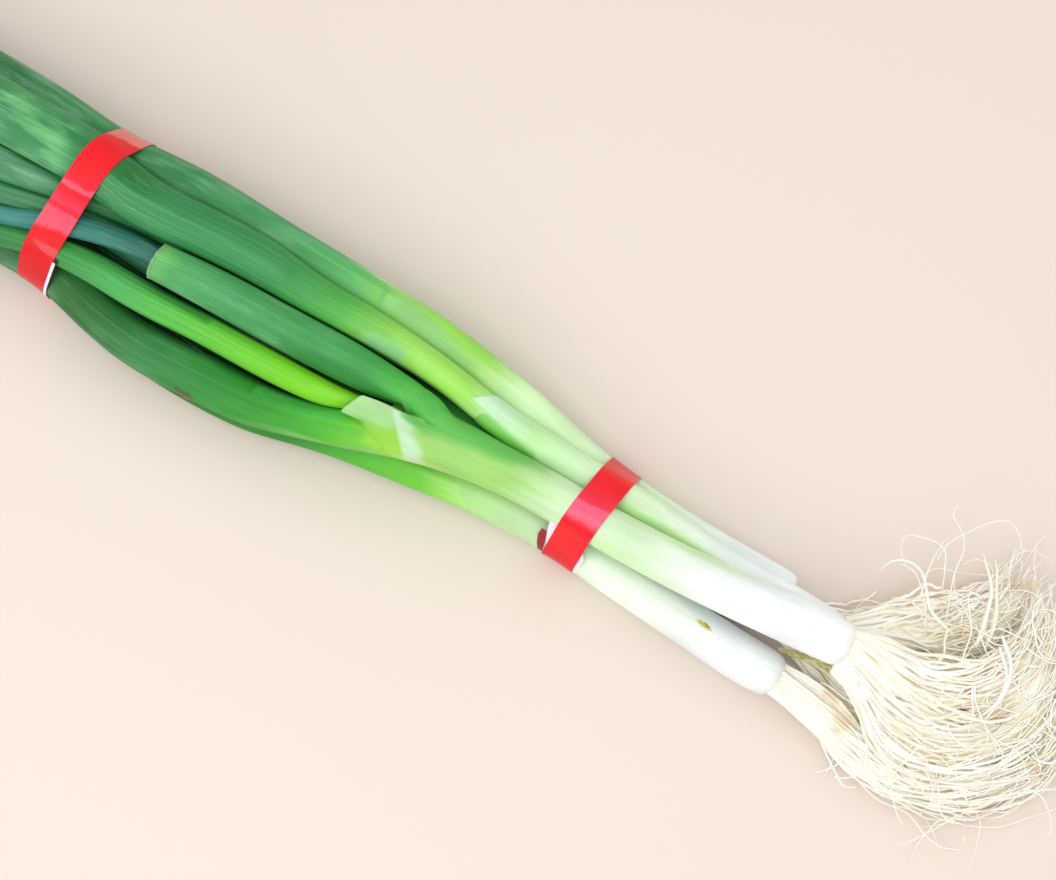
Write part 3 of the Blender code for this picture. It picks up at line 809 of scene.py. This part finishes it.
def makeSheath(name, values):
    members = [courses[m] for m in values["members"]]
    mouthAcross, mouthAlong, mouthLift = np.array(values["mouth"], float).T
    end = mouthAlong.min() - 2
    xs = home.x + np.arange(end, 0.1, sheathShape["step"]) * mm
    sections = [np.vstack([c.outlineAt(x) for c in members if c.x[0] <= x <= c.x[-1]]) for x in xs]
    middle, radius, bare = hullTables(sections, (0, 4), (3, 3), (1, 1))
    columns, rows = len(angles), values.get("rows", sheathShape["rows"])
    grid, local = np.zeros((2, rows, columns, 3))
    t = np.linspace(0, 1, rows)
    for k, turn in enumerate(angles):
        # looks for the place where this side of the sheath meets its mouth
        edge = end + 4
        for _ in range(30):
            x = home.x + edge * mm
            y = np.interp(x, xs, middle[:, 0]) + np.interp(x, xs, radius[:, k]) * math.cos(turn)
            across = (y - home.y) / mm
            edge += 0.35 * (np.interp(across, mouthAcross, mouthAlong) - edge)
        lift = np.interp(across, mouthAcross, mouthLift)
        x = home.x + edge * t * mm
        fromMouth = (1 - t) * abs(edge)
        out = np.interp(x, xs, radius[:, k]) + np.interp(t * abs(edge), *sheathShape["rise"]) * mm
        if lift < 0:
            under = np.interp(x, xs, bare[:, k]) + lift * mm
            out += (np.minimum(under, out) - out) * (1 - smooth(fromMouth, *sheathShape["dive"]))
        else:
            out += (lift - sheathShape["rise"][1][-1]) * mm * (1 - smooth(fromMouth, *sheathShape["flare"]))
        outwards = np.outer(out, (math.cos(turn), math.sin(turn)))
        grid[:, k] = np.column_stack([x, columnsAt(x, xs, middle) + outwards])
        local[:, k] = np.column_stack([x, outwards])
    grid, local = grid.reshape(-1, 3), local.reshape(-1, 3)
    piece = newPiece(name, grid.tolist(), gridFaces(rows, columns))
    writeAttribute(piece.data, "fibre", local)
    writePaint(piece.data, grid, local, values["patches"])
    faceOutwards(piece)
    thicken(piece, sheathShape["thickness"])
    finishPiece(piece, leafMaterial(name, values), "leaf")


for name, values in sheaths.items():
    makeSheath(name, values)
print("sheaths are wrapped:", len(sheaths))


# each tuft's strands run between its guides, which are lists of places
tufts = {
    "onion_d": {
        "strands": 150, "spread": 2.8, "curl": 2.2, "stray": 9,
        "core": {"beyond": 1.0, "high": 2.6, "drop": 1.2, "until": 0.93}, "guides": [
            [(83, -19.5, 8), (90, -21, 7), (100, -23, 4), (117, -27, 2.5), (130, -29, 2), (139, -28, 2),
             (151, -25, 2), (161, -20, 2.5), (170, -11, 3), (177, 0, 3.5), (180, 14, 4), (180, 30, 4)],
            [(83, -15, 8), (91, -17, 8.5), (104, -19, 7), (118, -22, 5.5), (130, -23, 5), (140, -21, 5),
             (151, -16, 5), (160, -8, 5), (167, 2, 6), (170, 16, 6), (170, 32, 6)],
            [(83, -11, 9), (92, -11, 10), (104, -13, 9), (118, -17, 8), (130, -18, 7), (140, -14, 7),
             (150, -6, 6), (158, 4, 7), (163, 16, 8), (164, 32, 8)],
        ],
    },
    "onion_c": {
        "strands": 180, "spread": 3.2, "curl": 2.4, "stray": 10,
        "core": {"beyond": 0.6, "high": 3.0, "drop": 1.6, "until": 0.93}, "guides": [
            [(97, -4, 22), (103, -6, 21), (112, -11, 17), (123, -17, 12), (136, -19, 9), (150, -14, 8),
             (162, -4, 8), (170, 10, 9), (172, 26, 9), (168, 42, 8)],
            [(97, 2, 25), (104, 1, 25), (113, -2, 22), (124, -5, 18), (136, -5, 15), (147, 0, 13),
             (156, 10, 12), (161, 23, 12), (160, 38, 11), (154, 52, 9)],
            [(97, 8, 26), (105, 10, 26), (114, 11, 24), (124, 11, 22), (134, 14, 20), (143, 21, 18),
             (149, 32, 16), (150, 45, 14), (146, 57, 10)],
        ],
    },
    "onion_b": {
        "strands": 92, "spread": 2.6, "curl": 2.6, "stray": 10,
        "core": {"beyond": 0.7, "high": 2.5, "drop": 1.2, "until": 0.92}, "guides": [
            [(94, 6, 12), (101, 9, 12), (110, 13, 11), (120, 18, 10), (131, 25, 9), (141, 34, 8),
             (148, 46, 7), (150, 60, 5)],
            [(94, 12, 13), (100, 17, 12), (108, 24, 11), (117, 31, 10), (126, 38, 9), (134, 47, 8),
             (137, 55, 6), (138, 63, 5)],
        ],
    },
    "onion_e": {
        "strands": 62, "spread": 3.0, "curl": 2.6, "stray": 11,
        "core": {"beyond": 1.0, "high": 2.0, "drop": 0.8, "until": 0.9}, "guides": [
            [(63, 0.5, 7), (75, 0, 5), (90, -4, 4), (110, -12, 3), (130, -16, 3), (150, -10, 3), (166, 4, 3),
             (176, 22, 3)],
            [(63, 1.5, 8), (80, 2, 5), (100, 3, 4), (120, 8, 4), (138, 18, 4), (152, 32, 4), (160, 48, 3)],
        ],
    },
    "onion_a": {
        "strands": 14, "spread": 1.2, "curl": 1.2, "stray": 4, "guides": [
            [(73, 13.6, 5), (82, 12, 3.2), (92, 11, 2.6), (106, 18, 2.6), (122, 28, 2.4)],
            [(73, 14, 6), (80, 14, 3.6), (92, 16, 2.6), (104, 24, 2.6), (116, 34, 2.4)],
        ],
    },
}
# single strands: onion, thickness in mm at the start and the end, places
loose = [
    ("onion_b", 1.6, 0.5, [
        (129, 27, 14), (117, 29, 22), (105, 38, 30), (99, 37, 32), (96, 35, 31), (94, 31, 29),
    ]),
    ("onion_b", 0.7, 0.3, [(136, 29, 12), (127, 35, 22), (120, 38, 27), (117, 42, 30)]),
    ("onion_c", 1.9, 0.8, [(137, 27, 15), (134, 37, 22), (128, 46, 32), (121, 51, 38)]),
    ("onion_c", 1.7, 0.7, [(140, 28, 15), (137, 38, 22), (130, 47, 31), (125, 52, 36)]),
    ("onion_c", 1.1, 0.6, [(140, 31, 15), (135, 42, 24), (134, 48, 30)]),
    ("onion_c", 1.7, 0.8, [(142, 34, 20), (148, 26, 24), (151, 16, 22), (150, 4, 17)]),
    ("onion_c", 1.5, 0.8, [(143, 30, 20), (149, 22, 23), (150, 12, 21), (147, 3, 16)]),
    ("onion_c", 0.8, 0.5, [(140, 16, 19), (144, 7, 21), (148, 0, 16)]),
    ("onion_b", 0.6, 0.3, [
        (124, 30, 14), (118, 43, 24), (115, 52, 32), (108, 56, 38), (106, 57, 39), (106, 61, 40),
    ]),
    ("onion_b", 0.5, 0.35, [
        (111, 46, 20), (111, 51, 24), (114, 57, 30), (119, 63, 34), (124, 66, 34), (131, 64, 30),
        (133, 62, 27),
    ]),
    ("onion_b", 0.55, 0.35, [
        (118, 38, 16), (114, 44, 24), (111, 48, 27), (102, 48, 30), (97, 46, 29), (98, 42, 27),
        (102, 38, 24),
    ]),
    ("onion_b", 0.4, 0.3, [(109, 38, 20), (111, 42, 22), (119, 45, 24), (129, 50, 22), (136, 53, 18)]),
    ("onion_c", 0.5, 0.3, [(140, 47, 16), (134, 53, 24), (132, 58, 28), (137, 63, 28), (144, 64, 26)]),
    ("onion_d", 0.8, 0.5, [
        (88, -15, 8), (97, -20, 6), (105, -25, 4), (112, -30, 3), (117, -33, 3), (122, -35.5, 3),
        (125.5, -34, 3),
    ]),
    ("onion_d", 0.7, 0.4, [
        (118, -29, 3), (134, -34, 3), (145, -33, 3), (153, -36, 2.5), (160, -37, 2), (166, -35, 2),
    ]),
    ("onion_d", 0.6, 0.4, [(138, -31, 4), (151, -31, 4), (158, -28, 3), (163, -27, 3), (166, -32, 2)]),
    ("onion_d", 0.6, 0.35, [
        (140, -30, 4), (154, -29, 3), (164, -26, 2), (174, -21, 2), (182, -13, 2), (190, -4, 2),
    ]),
    ("onion_c", 0.6, 0.4, [
        (106, -4, 19), (111, -9, 16), (124, -18, 13), (138, -20, 13), (141, -16, 13), (136, -14, 13),
        (134, -18, 12),
    ]),
]
strand = {
    # glow is painted light, a faint emission of the strands and the core that lifts their shade
    "points": 20, "thick": 0.86, "thin": 0.2, "base": 1.7, "sides": 4, "glow": 0.022, "hairs": 0.35,
    # strands to a lock and share of wild strands, then how far the tame and the wild drift, bend and stray
    "lock": 9, "wild": 0.28, "drift": (0.42, 1.0), "bend": (1.1, 1.6), "stray": (0.8, 1.6),
    # waves to a strand, and the lowest and highest place of any strand
    "waves": (1.3, 2.9, 5.7), "heights": (0.4, 44),
}
rootColours = [
    (0.0, 248, 239, 214), (0.25, 253, 248, 234), (0.6, 254, 251, 243), (0.9, 254, 252, 248),
    (0.97, 254, 252, 248), (1.0, 243, 246, 255),
]
coreColours = [(0.34, 232, 226, 202), (0.5, 248, 244, 229), (0.66, 253, 250, 243)]


def alongRoute(route, share):
    # places on a smooth curve through the route's own places
    route = np.array(route, float)
    steps = np.concatenate([[0], np.cumsum(np.linalg.norm(np.diff(route, axis=0), axis=1))])
    slopes = np.gradient(route, steps, axis=0)
    want = np.asarray(share) * steps[-1]
    i = np.clip(np.searchsorted(steps, want) - 1, 0, len(route) - 2)
    span = (steps[i + 1] - steps[i])[:, None]
    t = (want - steps[i])[:, None] / span
    return (
        (2 * t**3 - 3 * t**2 + 1) * route[i] + (t**3 - 2 * t**2 + t) * span * slopes[i]
        + (3 * t**2 - 2 * t**3) * route[i + 1] + (t**3 - t**2) * span * slopes[i + 1]
    )


def strandsObject(name, strands):
    # one curve with a spline for each strand, made a mesh
    data = bpy.data.curves.new(name, "CURVE")
    data.dimensions = "3D"
    data.bevel_depth = 1.0 * mm
    data.bevel_resolution = (strand["sides"] - 4) // 2
    data.use_fill_caps = True
    for places, radii in strands:
        spline = data.splines.new("POLY")
        spline.points.add(len(places) - 1)
        spots = np.array([place(*p) for p in places])
        spline.points.foreach_set("co", np.column_stack([spots, np.ones(len(spots))]).ravel())
        spline.points.foreach_set("radius", radii)
    made = bpy.data.objects.new(name, data)
    bpy.context.scene.collection.objects.link(made)
    pick(made)
    bpy.ops.object.convert(target="MESH")
    made = bpy.context.active_object
    tone, far = [], []
    for places, radii in strands:
        # short thick singles are the palest, the others vary
        pale = len(places) == 16 and max(radii) > 0.6
        tone += [1.0 if pale else random.random() * 0.9] * len(places) * strand["sides"]
        far += list(np.repeat(np.linspace(0, 1, len(places)), strand["sides"]))
    for kind, values in (("tone", tone), ("far", far)):
        writeAttribute(made.data, kind, np.resize(np.array(values), len(made.data.vertices)))
    return made


def stray(count, size, share):
    # a slow wander away from the guide, mostly sideways
    steps = [[random.gauss(0, 1), random.gauss(0, 1), random.gauss(0, 0.35)] for _ in range(count)]
    return np.cumsum(steps, axis=0) / math.sqrt(count) * size * (share ** 1.3)[:, None]


def keptInHeight(path):
    path[:, 2] = np.clip(path[:, 2], *strand["heights"])
    return path


def looseStrand(first, last, places):
    count = 5 * len(places) - 4
    share = np.linspace(0, 1, count)
    path = alongRoute(places, share)
    for axis in range(3):
        path[:, axis] += 0.35 * share * np.sin(share * 9 + random.uniform(0, 6))
    radii = np.linspace(first, last, count) / 2
    if first > 1.0:
        # a thick single is rounded off at both ends
        radii *= np.minimum(np.minimum(share * 6 + 0.45, (1 - share) * 6 + 0.3), 1)
    return path, radii


def tuftStrands(values):
    made, guides = [], values["guides"]
    # strands keep together in locks, each with its own place in the tuft and its own waves
    locks = [
        (random.uniform(0, len(guides) - 1), random.uniform(-0.5, math.pi + 0.5), math.sqrt(random.random()),
         [random.uniform(0, fullTurn) for _ in range(9)])
        for _ in range(values["strands"] // strand["lock"])
    ]
    for _ in range(values["strands"]):
        lockBetween, lockTurn, lockOut, phases = random.choice(locks)
        wild = random.random() < strand["wild"]
        length = random.uniform(0.45, 1.0) if random.random() < 0.6 else random.uniform(0.85, 1.05)
        share = np.linspace(0, min(length, 1.0), strand["points"])
        # where it runs between two guides
        between = min(max(lockBetween + random.gauss(0, 0.2), 0), len(guides) - 1)
        first = min(int(between), len(guides) - 2)
        drift = random.gauss(0, strand["drift"][wild])
        blend = np.clip(between - first + drift * share, -0.15, 1.15)[:, None]
        path = alongRoute(guides[first], share) * (1 - blend) + alongRoute(guides[first + 1], share) * blend
        # how far out of the middle it runs
        turn, out = lockTurn + random.gauss(0, 0.5), min(abs(lockOut + random.gauss(0, 0.2)), 1.1)
        spread = values["spread"] * out * (0.7 + 1.2 * share)
        path[:, 1] += math.cos(turn) * spread
        path[:, 2] += math.sin(turn) * spread * (1 - 0.4 * share)
        grow = np.minimum(share * 4, 1.0)
        for axis, size in enumerate((0.6, 1.0, 0.6)):
            for k, wave in enumerate(strand["waves"]):
                bend = values["curl"] * size * random.uniform(0.5, 1.0) / wave ** 0.75 * strand["bend"][wild]
                phase = phases[3 * axis + k] + random.gauss(0, 0.9)
                path[:, axis] += bend * grow * (0.3 + share) * np.sin(wave * 2 * math.pi * share + phase)
        path += stray(len(path), values["stray"] * random.random() ** 2 * strand["stray"][wild], share)
        thick = strand["thick"] * random.uniform(0.6, 1.2)
        radii = thick + (strand["thin"] - thick) * np.clip(share * 1.15, 0, 1) ** 1.3
        radii[0] *= strand["base"]
        made.append((keptInHeight(path), radii))
    return made


def curlyHairs(values):
    # fine hairs that leave the strands and curl freely
    made = []
    for _ in range(int(values["strands"] * strand["hairs"])):
        guide = random.choice(values["guides"])
        start = alongRoute(guide, [random.uniform(0.3, 0.95)])[0]
        heading = random.uniform(0, fullTurn)
        rise, steps = random.uniform(0.1, 0.8), random.randint(10, 16)
        turn = random.gauss(0, 0.16)
        path = [start + [random.gauss(0, 3), random.gauss(0, 4), random.uniform(0, 4)]]
        for _ in range(steps):
            turn = 0.9 * turn + random.gauss(0, 0.13)
            heading += turn
            rise -= random.uniform(0, 0.16)
            step = np.array([math.cos(heading), math.sin(heading), rise])
            path.append(path[-1] + step * random.uniform(1.2, 2.4))
        first = random.uniform(0.22, 0.42)
        made.append((keptInHeight(np.array(path)), np.linspace(first, first * 0.5, len(path))))
    return made


def rootMaterial():
    finish = Finish("root strands")
    tone, far, where = finish.attribute("tone"), finish.attribute("far"), finish.objectPlace()
    ochre = finish.between(finish.noise(where, (70, 70, 70), 2.0, 4.0), 0.6, 0.72, 0.0, 0.75)
    ochre = finish.times(ochre, finish.calc("LESS_THAN", tone, 0.97), far)
    colour = finish.mix(ochre, finish.ramp(tone, rootColours), srgb(222, 200, 146))
    # painted light: a faint glow lifts the shade between the pale threads, standing for the light they hold
    return finish.close(colour, finish.noise(where, (120, 120, 120), 3.0), 0.1, 0.6, {
        "Roughness": 0.6, "Specular IOR Level": 0.3, "Emission Color": srgb(255, 250, 240),
        "Emission Strength": strand["glow"],
    })


def coreMaterial():
    # the soft mass of finer roots inside a tuft, drawn in threads along it
    finish = Finish("root core")
    fibre = finish.attribute("fibre", "Vector")
    threads = finish.noise(fibre, (26, 520, 520), 3.0)
    olive = finish.between(finish.noise(fibre, (60, 90, 90), 2.0, 2.0), 0.44, 0.62, 0.0, 0.85)
    colour = finish.mix(olive, finish.ramp(threads, coreColours), srgb(228, 220, 172))
    return finish.close(colour, threads, 0.5, 0.7, {
        # painted light: the same faint glow lifts the shade in the core
        "Roughness": 0.8, "Specular IOR Level": 0.1, "Emission Color": srgb(255, 250, 236),
        "Emission Strength": strand["glow"],
    })


def makeCore(name, guides, values):
    # a flattened tube between the guides, lumpy and thinner towards both ends
    share = np.linspace(0.0, values["until"], 40)
    routes = np.array([alongRoute(guide, share) for guide in guides])
    centre, across = routes.mean(axis=0), (routes[-1] - routes[0]) / 2
    wide = np.linalg.norm(across, axis=1)
    across /= wide[:, None]
    upwards = np.cross(np.gradient(centre, axis=0), across)
    upwards /= np.linalg.norm(upwards, axis=1)[:, None] * np.sign(upwards[:, 2:])
    ends = np.clip(np.minimum(share * 9 + 0.5, (values["until"] - share) * 5), 0.08, 1)
    rim = np.linspace(0, fullTurn, 49)[:-1]
    rows = []
    for k, where in enumerate(share):
        lumps = 1 + 0.09 * np.sin(5 * rim + where * 17) + 0.07 * np.sin(11 * rim - where * 11)
        sideways = (wide[k] + values["beyond"]) * ends[k] * lumps * np.cos(rim)
        height = values["high"] * ends[k] ** 0.5 * lumps * np.sin(rim)
        rows.append(centre[k] + np.outer(sideways, across[k]) + np.outer(height - values["drop"], upwards[k]))
    grid = np.array(rows).reshape(-1, 3)
    grid[:, 2] = np.maximum(grid[:, 2], 0.3)
    count = len(rim)
    caps = [tuple(range(count)), tuple(len(grid) - 1 - c for c in range(count))]
    piece = newPiece(name, [place(*point) for point in grid], gridFaces(len(share), count) + caps)
    steps = np.concatenate([[0], np.cumsum(np.linalg.norm(np.diff(centre, axis=0), axis=1))])
    fibre = np.column_stack([np.repeat(steps, count), (grid - np.repeat(centre, count, axis=0))[:, 1:]]) * mm
    writeAttribute(piece.data, "fibre", fibre)
    faceOutwards(piece)
    finishPiece(piece, coreLook, "roots")


coreLook = coreMaterial()
rootLook = rootMaterial()
random.seed(21)
for onion, values in tufts.items():
    strands = tuftStrands(values) + [looseStrand(*row[1:]) for row in loose if row[0] == onion]
    strands += curlyHairs(values)
    tuft = strandsObject(onion.replace("onion_", "root_strands_"), strands)
    if "core" in values:
        makeCore(onion.replace("onion_", "root_core_"), values["guides"], values["core"])
    finishPiece(tuft, rootLook, "roots", onion + "_roots")
print("roots are grown")


# thin dry scraps of old sheath, each a ragged strip along its line
scraps = {
    "dry_scrap_base": {
        "line": [(79, -6.6, 10.5), (85, -5.4, 11), (91, -4.2, 10.5), (98, -3.4, 9.5), (104, -5, 7)],
        "width": (1.6, 2.6, 3.0, 2.6, 1.0), "colours": ((172, 162, 96), (214, 208, 156)),
    },
    "dry_scrap_rim": {
        "line": [(-139, -32.8, 14), (-144, -33.7, 14), (-148, -33.9, 13.6), (-152, -33.3, 13)],
        "width": (0.3, 0.9, 1.0, 0.3), "colours": ((92, 70, 40), (150, 128, 78)),
    },
    "dry_scrap_far": {
        "line": [(-226, -15, 20.5), (-229, -17.5, 18), (-229.5, -21, 15), (-228, -24.5, 11)],
        "width": (0.4, 1.2, 1.0, 0.3), "colours": ((120, 150, 88), (190, 200, 150)),
    },
    "dry_scrap_ochre": {
        "line": [(148.5, 4.2, 17.6), (152, 6.6, 17.8), (155, 8.6, 17.6), (159, 12, 16.6)],
        "width": (0.5, 1.6, 1.8, 0.6), "colours": ((172, 136, 66), (216, 190, 124)),
    },
    "dry_scrap_russet": {
        "line": [(139.8, 4.0, 19.4), (141.6, 5.0, 19.6), (143.6, 6.0, 19.2)],
        "width": (0.3, 0.8, 0.3), "colours": ((122, 52, 40), (182, 104, 78)),
    },
    "dry_scrap_brown": {
        "line": [(150.2, -20.8, 8.8), (151.8, -19.6, 9.2), (153.4, -18.6, 8.8)],
        "width": (0.5, 1.4, 0.5), "colours": ((152, 112, 70), (208, 182, 140)),
    },
}


def scrapMaterial(name, dark, pale):
    finish = Finish(name)
    wrinkles = finish.between(finish.noise(finish.objectPlace(), (260, 900, 900), 3.0), 0.35, 0.65)
    colour = finish.mix(wrinkles, srgb(*dark), srgb(*pale))
    return finish.close(colour, wrinkles, 0.1, 0.8, {"Roughness": 0.75})


def makeScrap(name, values):
    share, sides = np.linspace(0, 1, 40), np.linspace(-1, 1, 7)
    line = alongRoute(values["line"], share)
    across = np.cross(np.gradient(line, axis=0), (0, 0, 1))
    across /= np.linalg.norm(across, axis=1)[:, None]
    half = shared(values["width"], share) / 2
    grid = []
    for k, middle in enumerate(line):
        ragged = [half[k] * random.uniform(0.7, 1.15) for _ in (0, 1)]
        for side in sides:
            wide = ragged[0] if side < 0 else ragged[1]
            crumple = 0.25 * math.sin(31 * share[k] + 5 * side) + 0.15 * math.sin(53 * share[k] - 3 * side)
            upwards = np.array((0, 0, crumple - 0.5 * side * side))
            grid.append(place(*(middle + across[k] * side * wide + upwards)))
    piece = newPiece(name, grid, gridFaces(len(share), len(sides), closed=False))
    faceTowards(piece.data, Vector((0, 0, 1)))
    thicken(piece, 0.2)
    finishPiece(piece, scrapMaterial(name, *values["colours"]), "leaf")


for name, values in scraps.items():
    makeScrap(name, values)
print("dry scraps are laid on:", len(scraps))


tapeLook = {"roughness": 0.4, "shine": 0.2, "coat": 0.35, "wave": 0.05}
tapes = {
    # where it lies along the bunch, its slant, how its edges lift (angle, width, edge, height),
    # and its colours by the angle round the bunch, which hold painted reflections and painted shade
    "lower": {
        "from": -6.4, "to": 6.1, "skew": 0.12, "curls": [(188, 22, -1, 0.9)],
        "colours": [
            # the pale pink stops from 91 to 114 are a painted reflection, the paler brick stops at 20 to 37 a
            # painted lit facet, and the darker stops underneath painted shade
            (-89, 186, 10, 30), (20, 226, 40, 34), (37, 234, 42, 36), (41, 236, 8, 28),
            (60, 236, 14, 34), (76, 238, 34, 56), (91, 240, 48, 74), (94, 248, 92, 126),
            (108, 248, 88, 122), (114, 242, 60, 92), (117, 242, 2, 26), (165, 240, 2, 26),
            (205, 200, 4, 24), (269, 186, 10, 30),
        ],
    },
    "upper": {
        "from": -218.2, "to": -205.7, "skew": 0.12, "curls": [(95, 30, 1, 0.3)],
        # the pale stops from 10 to 29 are a painted lit top facet, those at 84 to 87 and 118 to 136 painted
        # reflections, and the darker stops underneath painted shade
        "colours": [
            (-89, 196, 30, 36), (10, 222, 136, 122), (29, 226, 112, 104), (32, 222, 4, 22),
            (70, 234, 8, 28), (82, 238, 26, 50), (84, 248, 86, 106), (87, 248, 84, 104),
            (89, 230, 6, 32), (98, 238, 30, 58), (107, 242, 52, 80), (114, 232, 14, 44),
            (118, 248, 76, 100), (136, 250, 84, 106), (140, 226, 4, 24), (160, 218, 10, 26),
            (200, 214, 36, 42), (269, 196, 30, 36),
        ],
    },
}
tabs = {
    # the arc it covers in degrees, and how far it goes before and beyond the tape along that arc
    "lower": {
        "arc": (132, 198), "before": (3.0, 2.6, 1.6, 0.6, -1), "beyond": (-2, -2, 1.5, 1.6, 1.6), "lift": 0.1,
    },
    "upper": {"arc": (160, 190), "before": (-12.4, -12.4), "beyond": (1.0, 1.1), "lift": 0.75},
}
stripShape = {"step": 1.5, "near": 2, "rows": 9, "thickness": 0.25, "ground": 0.02, "sharp": 40}
band = {"before": 0, "beyond": 0, "lift": 0.5}
tapeEdgeShade = {
    # painted shade: a dark strip along the edge of the tape under the upper tab, standing for the shaded gap
    # there
    "arc": (157, 191), "before": (-12.6, -12.6), "beyond": (1.5, 1.6), "lift": 0.5,
    "colours": [(-89, 70, 16, 22), (269, 70, 16, 22)],
}
tapeEnd = {
    "arc": (158, 196), "before": (4.2, 4.4, 3.6, 2.0), "beyond": (-14.8, -14.0, -13.2, -12.6), "lift": 0.4,
    "colours": [(-89, 150, 0, 30), (269, 150, 0, 30)],
}


def tapeMaterial(name, colours):
    # red film with painted light: pale pink bands and pale facets stand for reflections of the lights, and
    # darker red underneath for shade
    finish = Finish(name)
    where = finish.objectPlace()
    waves = finish.noise(where, (60, 60, 60), 2.0)
    ragged = finish.times(finish.calc("SUBTRACT", finish.noise(where, (150, 150, 150), 2.0), 0.5), 0.03)
    around = finish.plus(finish.attribute("around"), ragged)
    ringed = finish.ramp(around, [(degrees + 90, *tint) for degrees, *tint in colours], 0, 360)
    colour = finish.shaded(ringed, finish.between(waves, 0.3, 0.7, 0.92, 1.05))
    return finish.close(colour, waves, tapeLook["wave"], 0.5, {
        "Roughness": tapeLook["roughness"], "Specular IOR Level": tapeLook["shine"],
        "Coat Weight": tapeLook["coat"], "Coat Roughness": 0.08,
    })


def tabMaterial():
    finish = Finish("backing paper")
    pulp = finish.noise(finish.objectPlace(), (900, 900, 900), 3.0)
    colour = finish.mix(pulp, srgb(226, 216, 232), srgb(244, 240, 248))
    return finish.close(colour, pulp, 0.03, 0.6, {"Roughness": 0.55})


def wrapStrip(name, tape, strip, material, *slotAndNode):
    # a strip laid round the whole bunch: closed when it has no arc
    xs = home.x + np.arange(tape["from"] - 9, tape["to"] + 9, stripShape["step"]) * mm
    sections = [skinPoints[np.abs(skinPoints[:, 0] - x) < stripShape["near"] * mm, 1:] for x in xs]
    middle, radius = hullTables(sections, (0, 3), (1, 3))
    closed = "arc" not in strip
    turns = angles if closed else np.radians(np.linspace(*strip["arc"], 15))
    table = np.array([np.interp(turns, angles, row, period=fullTurn) for row in radius])
    rows, columns = stripShape["rows"], len(turns)
    grid, around = np.zeros((rows, columns, 3)), np.zeros((rows, columns))
    for k, turn in enumerate(turns):
        low = tape["from"] - shared(strip["before"], k / (columns - 1))
        high = tape["to"] + shared(strip["beyond"], k / (columns - 1))
        for r in range(rows):
            side = 2 * r / (rows - 1) - 1
            around[r, k] = ((math.degrees(turn) + 90) % 360) / 360 + 0.008 * side
            raised = strip["lift"]
            for where, width, edge, height in strip.get("curls", ()):
                off = abs((math.degrees(turn) - where + 180) % 360 - 180)
                raised += height * (1 - smooth(off, 0, width)) * max(side * edge, 0) ** 2
            # a slanting strip: its place along the bunch depends on how far across it has come
            y = 0.0
            for _ in range(5):
                x = home.x + (low + (high - low) * r / (rows - 1)) * mm + tape["skew"] * (y - home.y)
                far = np.interp(x, xs, table[:, k]) + raised * mm
                y = np.interp(x, xs, middle[:, 0]) + far * math.cos(turn)
            z = np.interp(x, xs, middle[:, 1]) + far * math.sin(turn)
            grid[r, k] = x, y, max(z, stripShape["ground"] * mm)
    piece = newPiece(name, grid.reshape(-1, 3).tolist(), gridFaces(rows, columns, closed))
    writeAttribute(piece.data, "around", around.ravel())
    first = piece.data.polygons[0].center
    faceTowards(piece.data, Vector((0, *(np.array(first[1:]) - middle[len(xs) // 2]))))
    thicken(piece, stripShape["thickness"])
    finishPiece(piece, material, *slotAndNode, sharp=stripShape["sharp"])


skinPoints = np.vstack([pointsOf(piece.data) for piece in skinPieces.values()])
paper = tabMaterial()
for where, tape in tapes.items():
    red = tapeMaterial("red tape " + where, tape["colours"])
    wrapStrip("red_tape_" + where, tape, {**band, "curls": tape["curls"]}, red, "tape", "tape_" + where)
    wrapStrip("paper_tab_" + where, tape, tabs[where], paper, "tab", "tab_" + where)
for name, where, strip in (("tape_end_lower", "lower", tapeEnd), ("tape_edge_upper", "upper", tapeEdgeShade)):
    red = tapeMaterial("red tape " + name.split("_")[1], strip["colours"])
    wrapStrip(name, tapes[where], strip, red, "tape")
print("tapes and tabs are made")
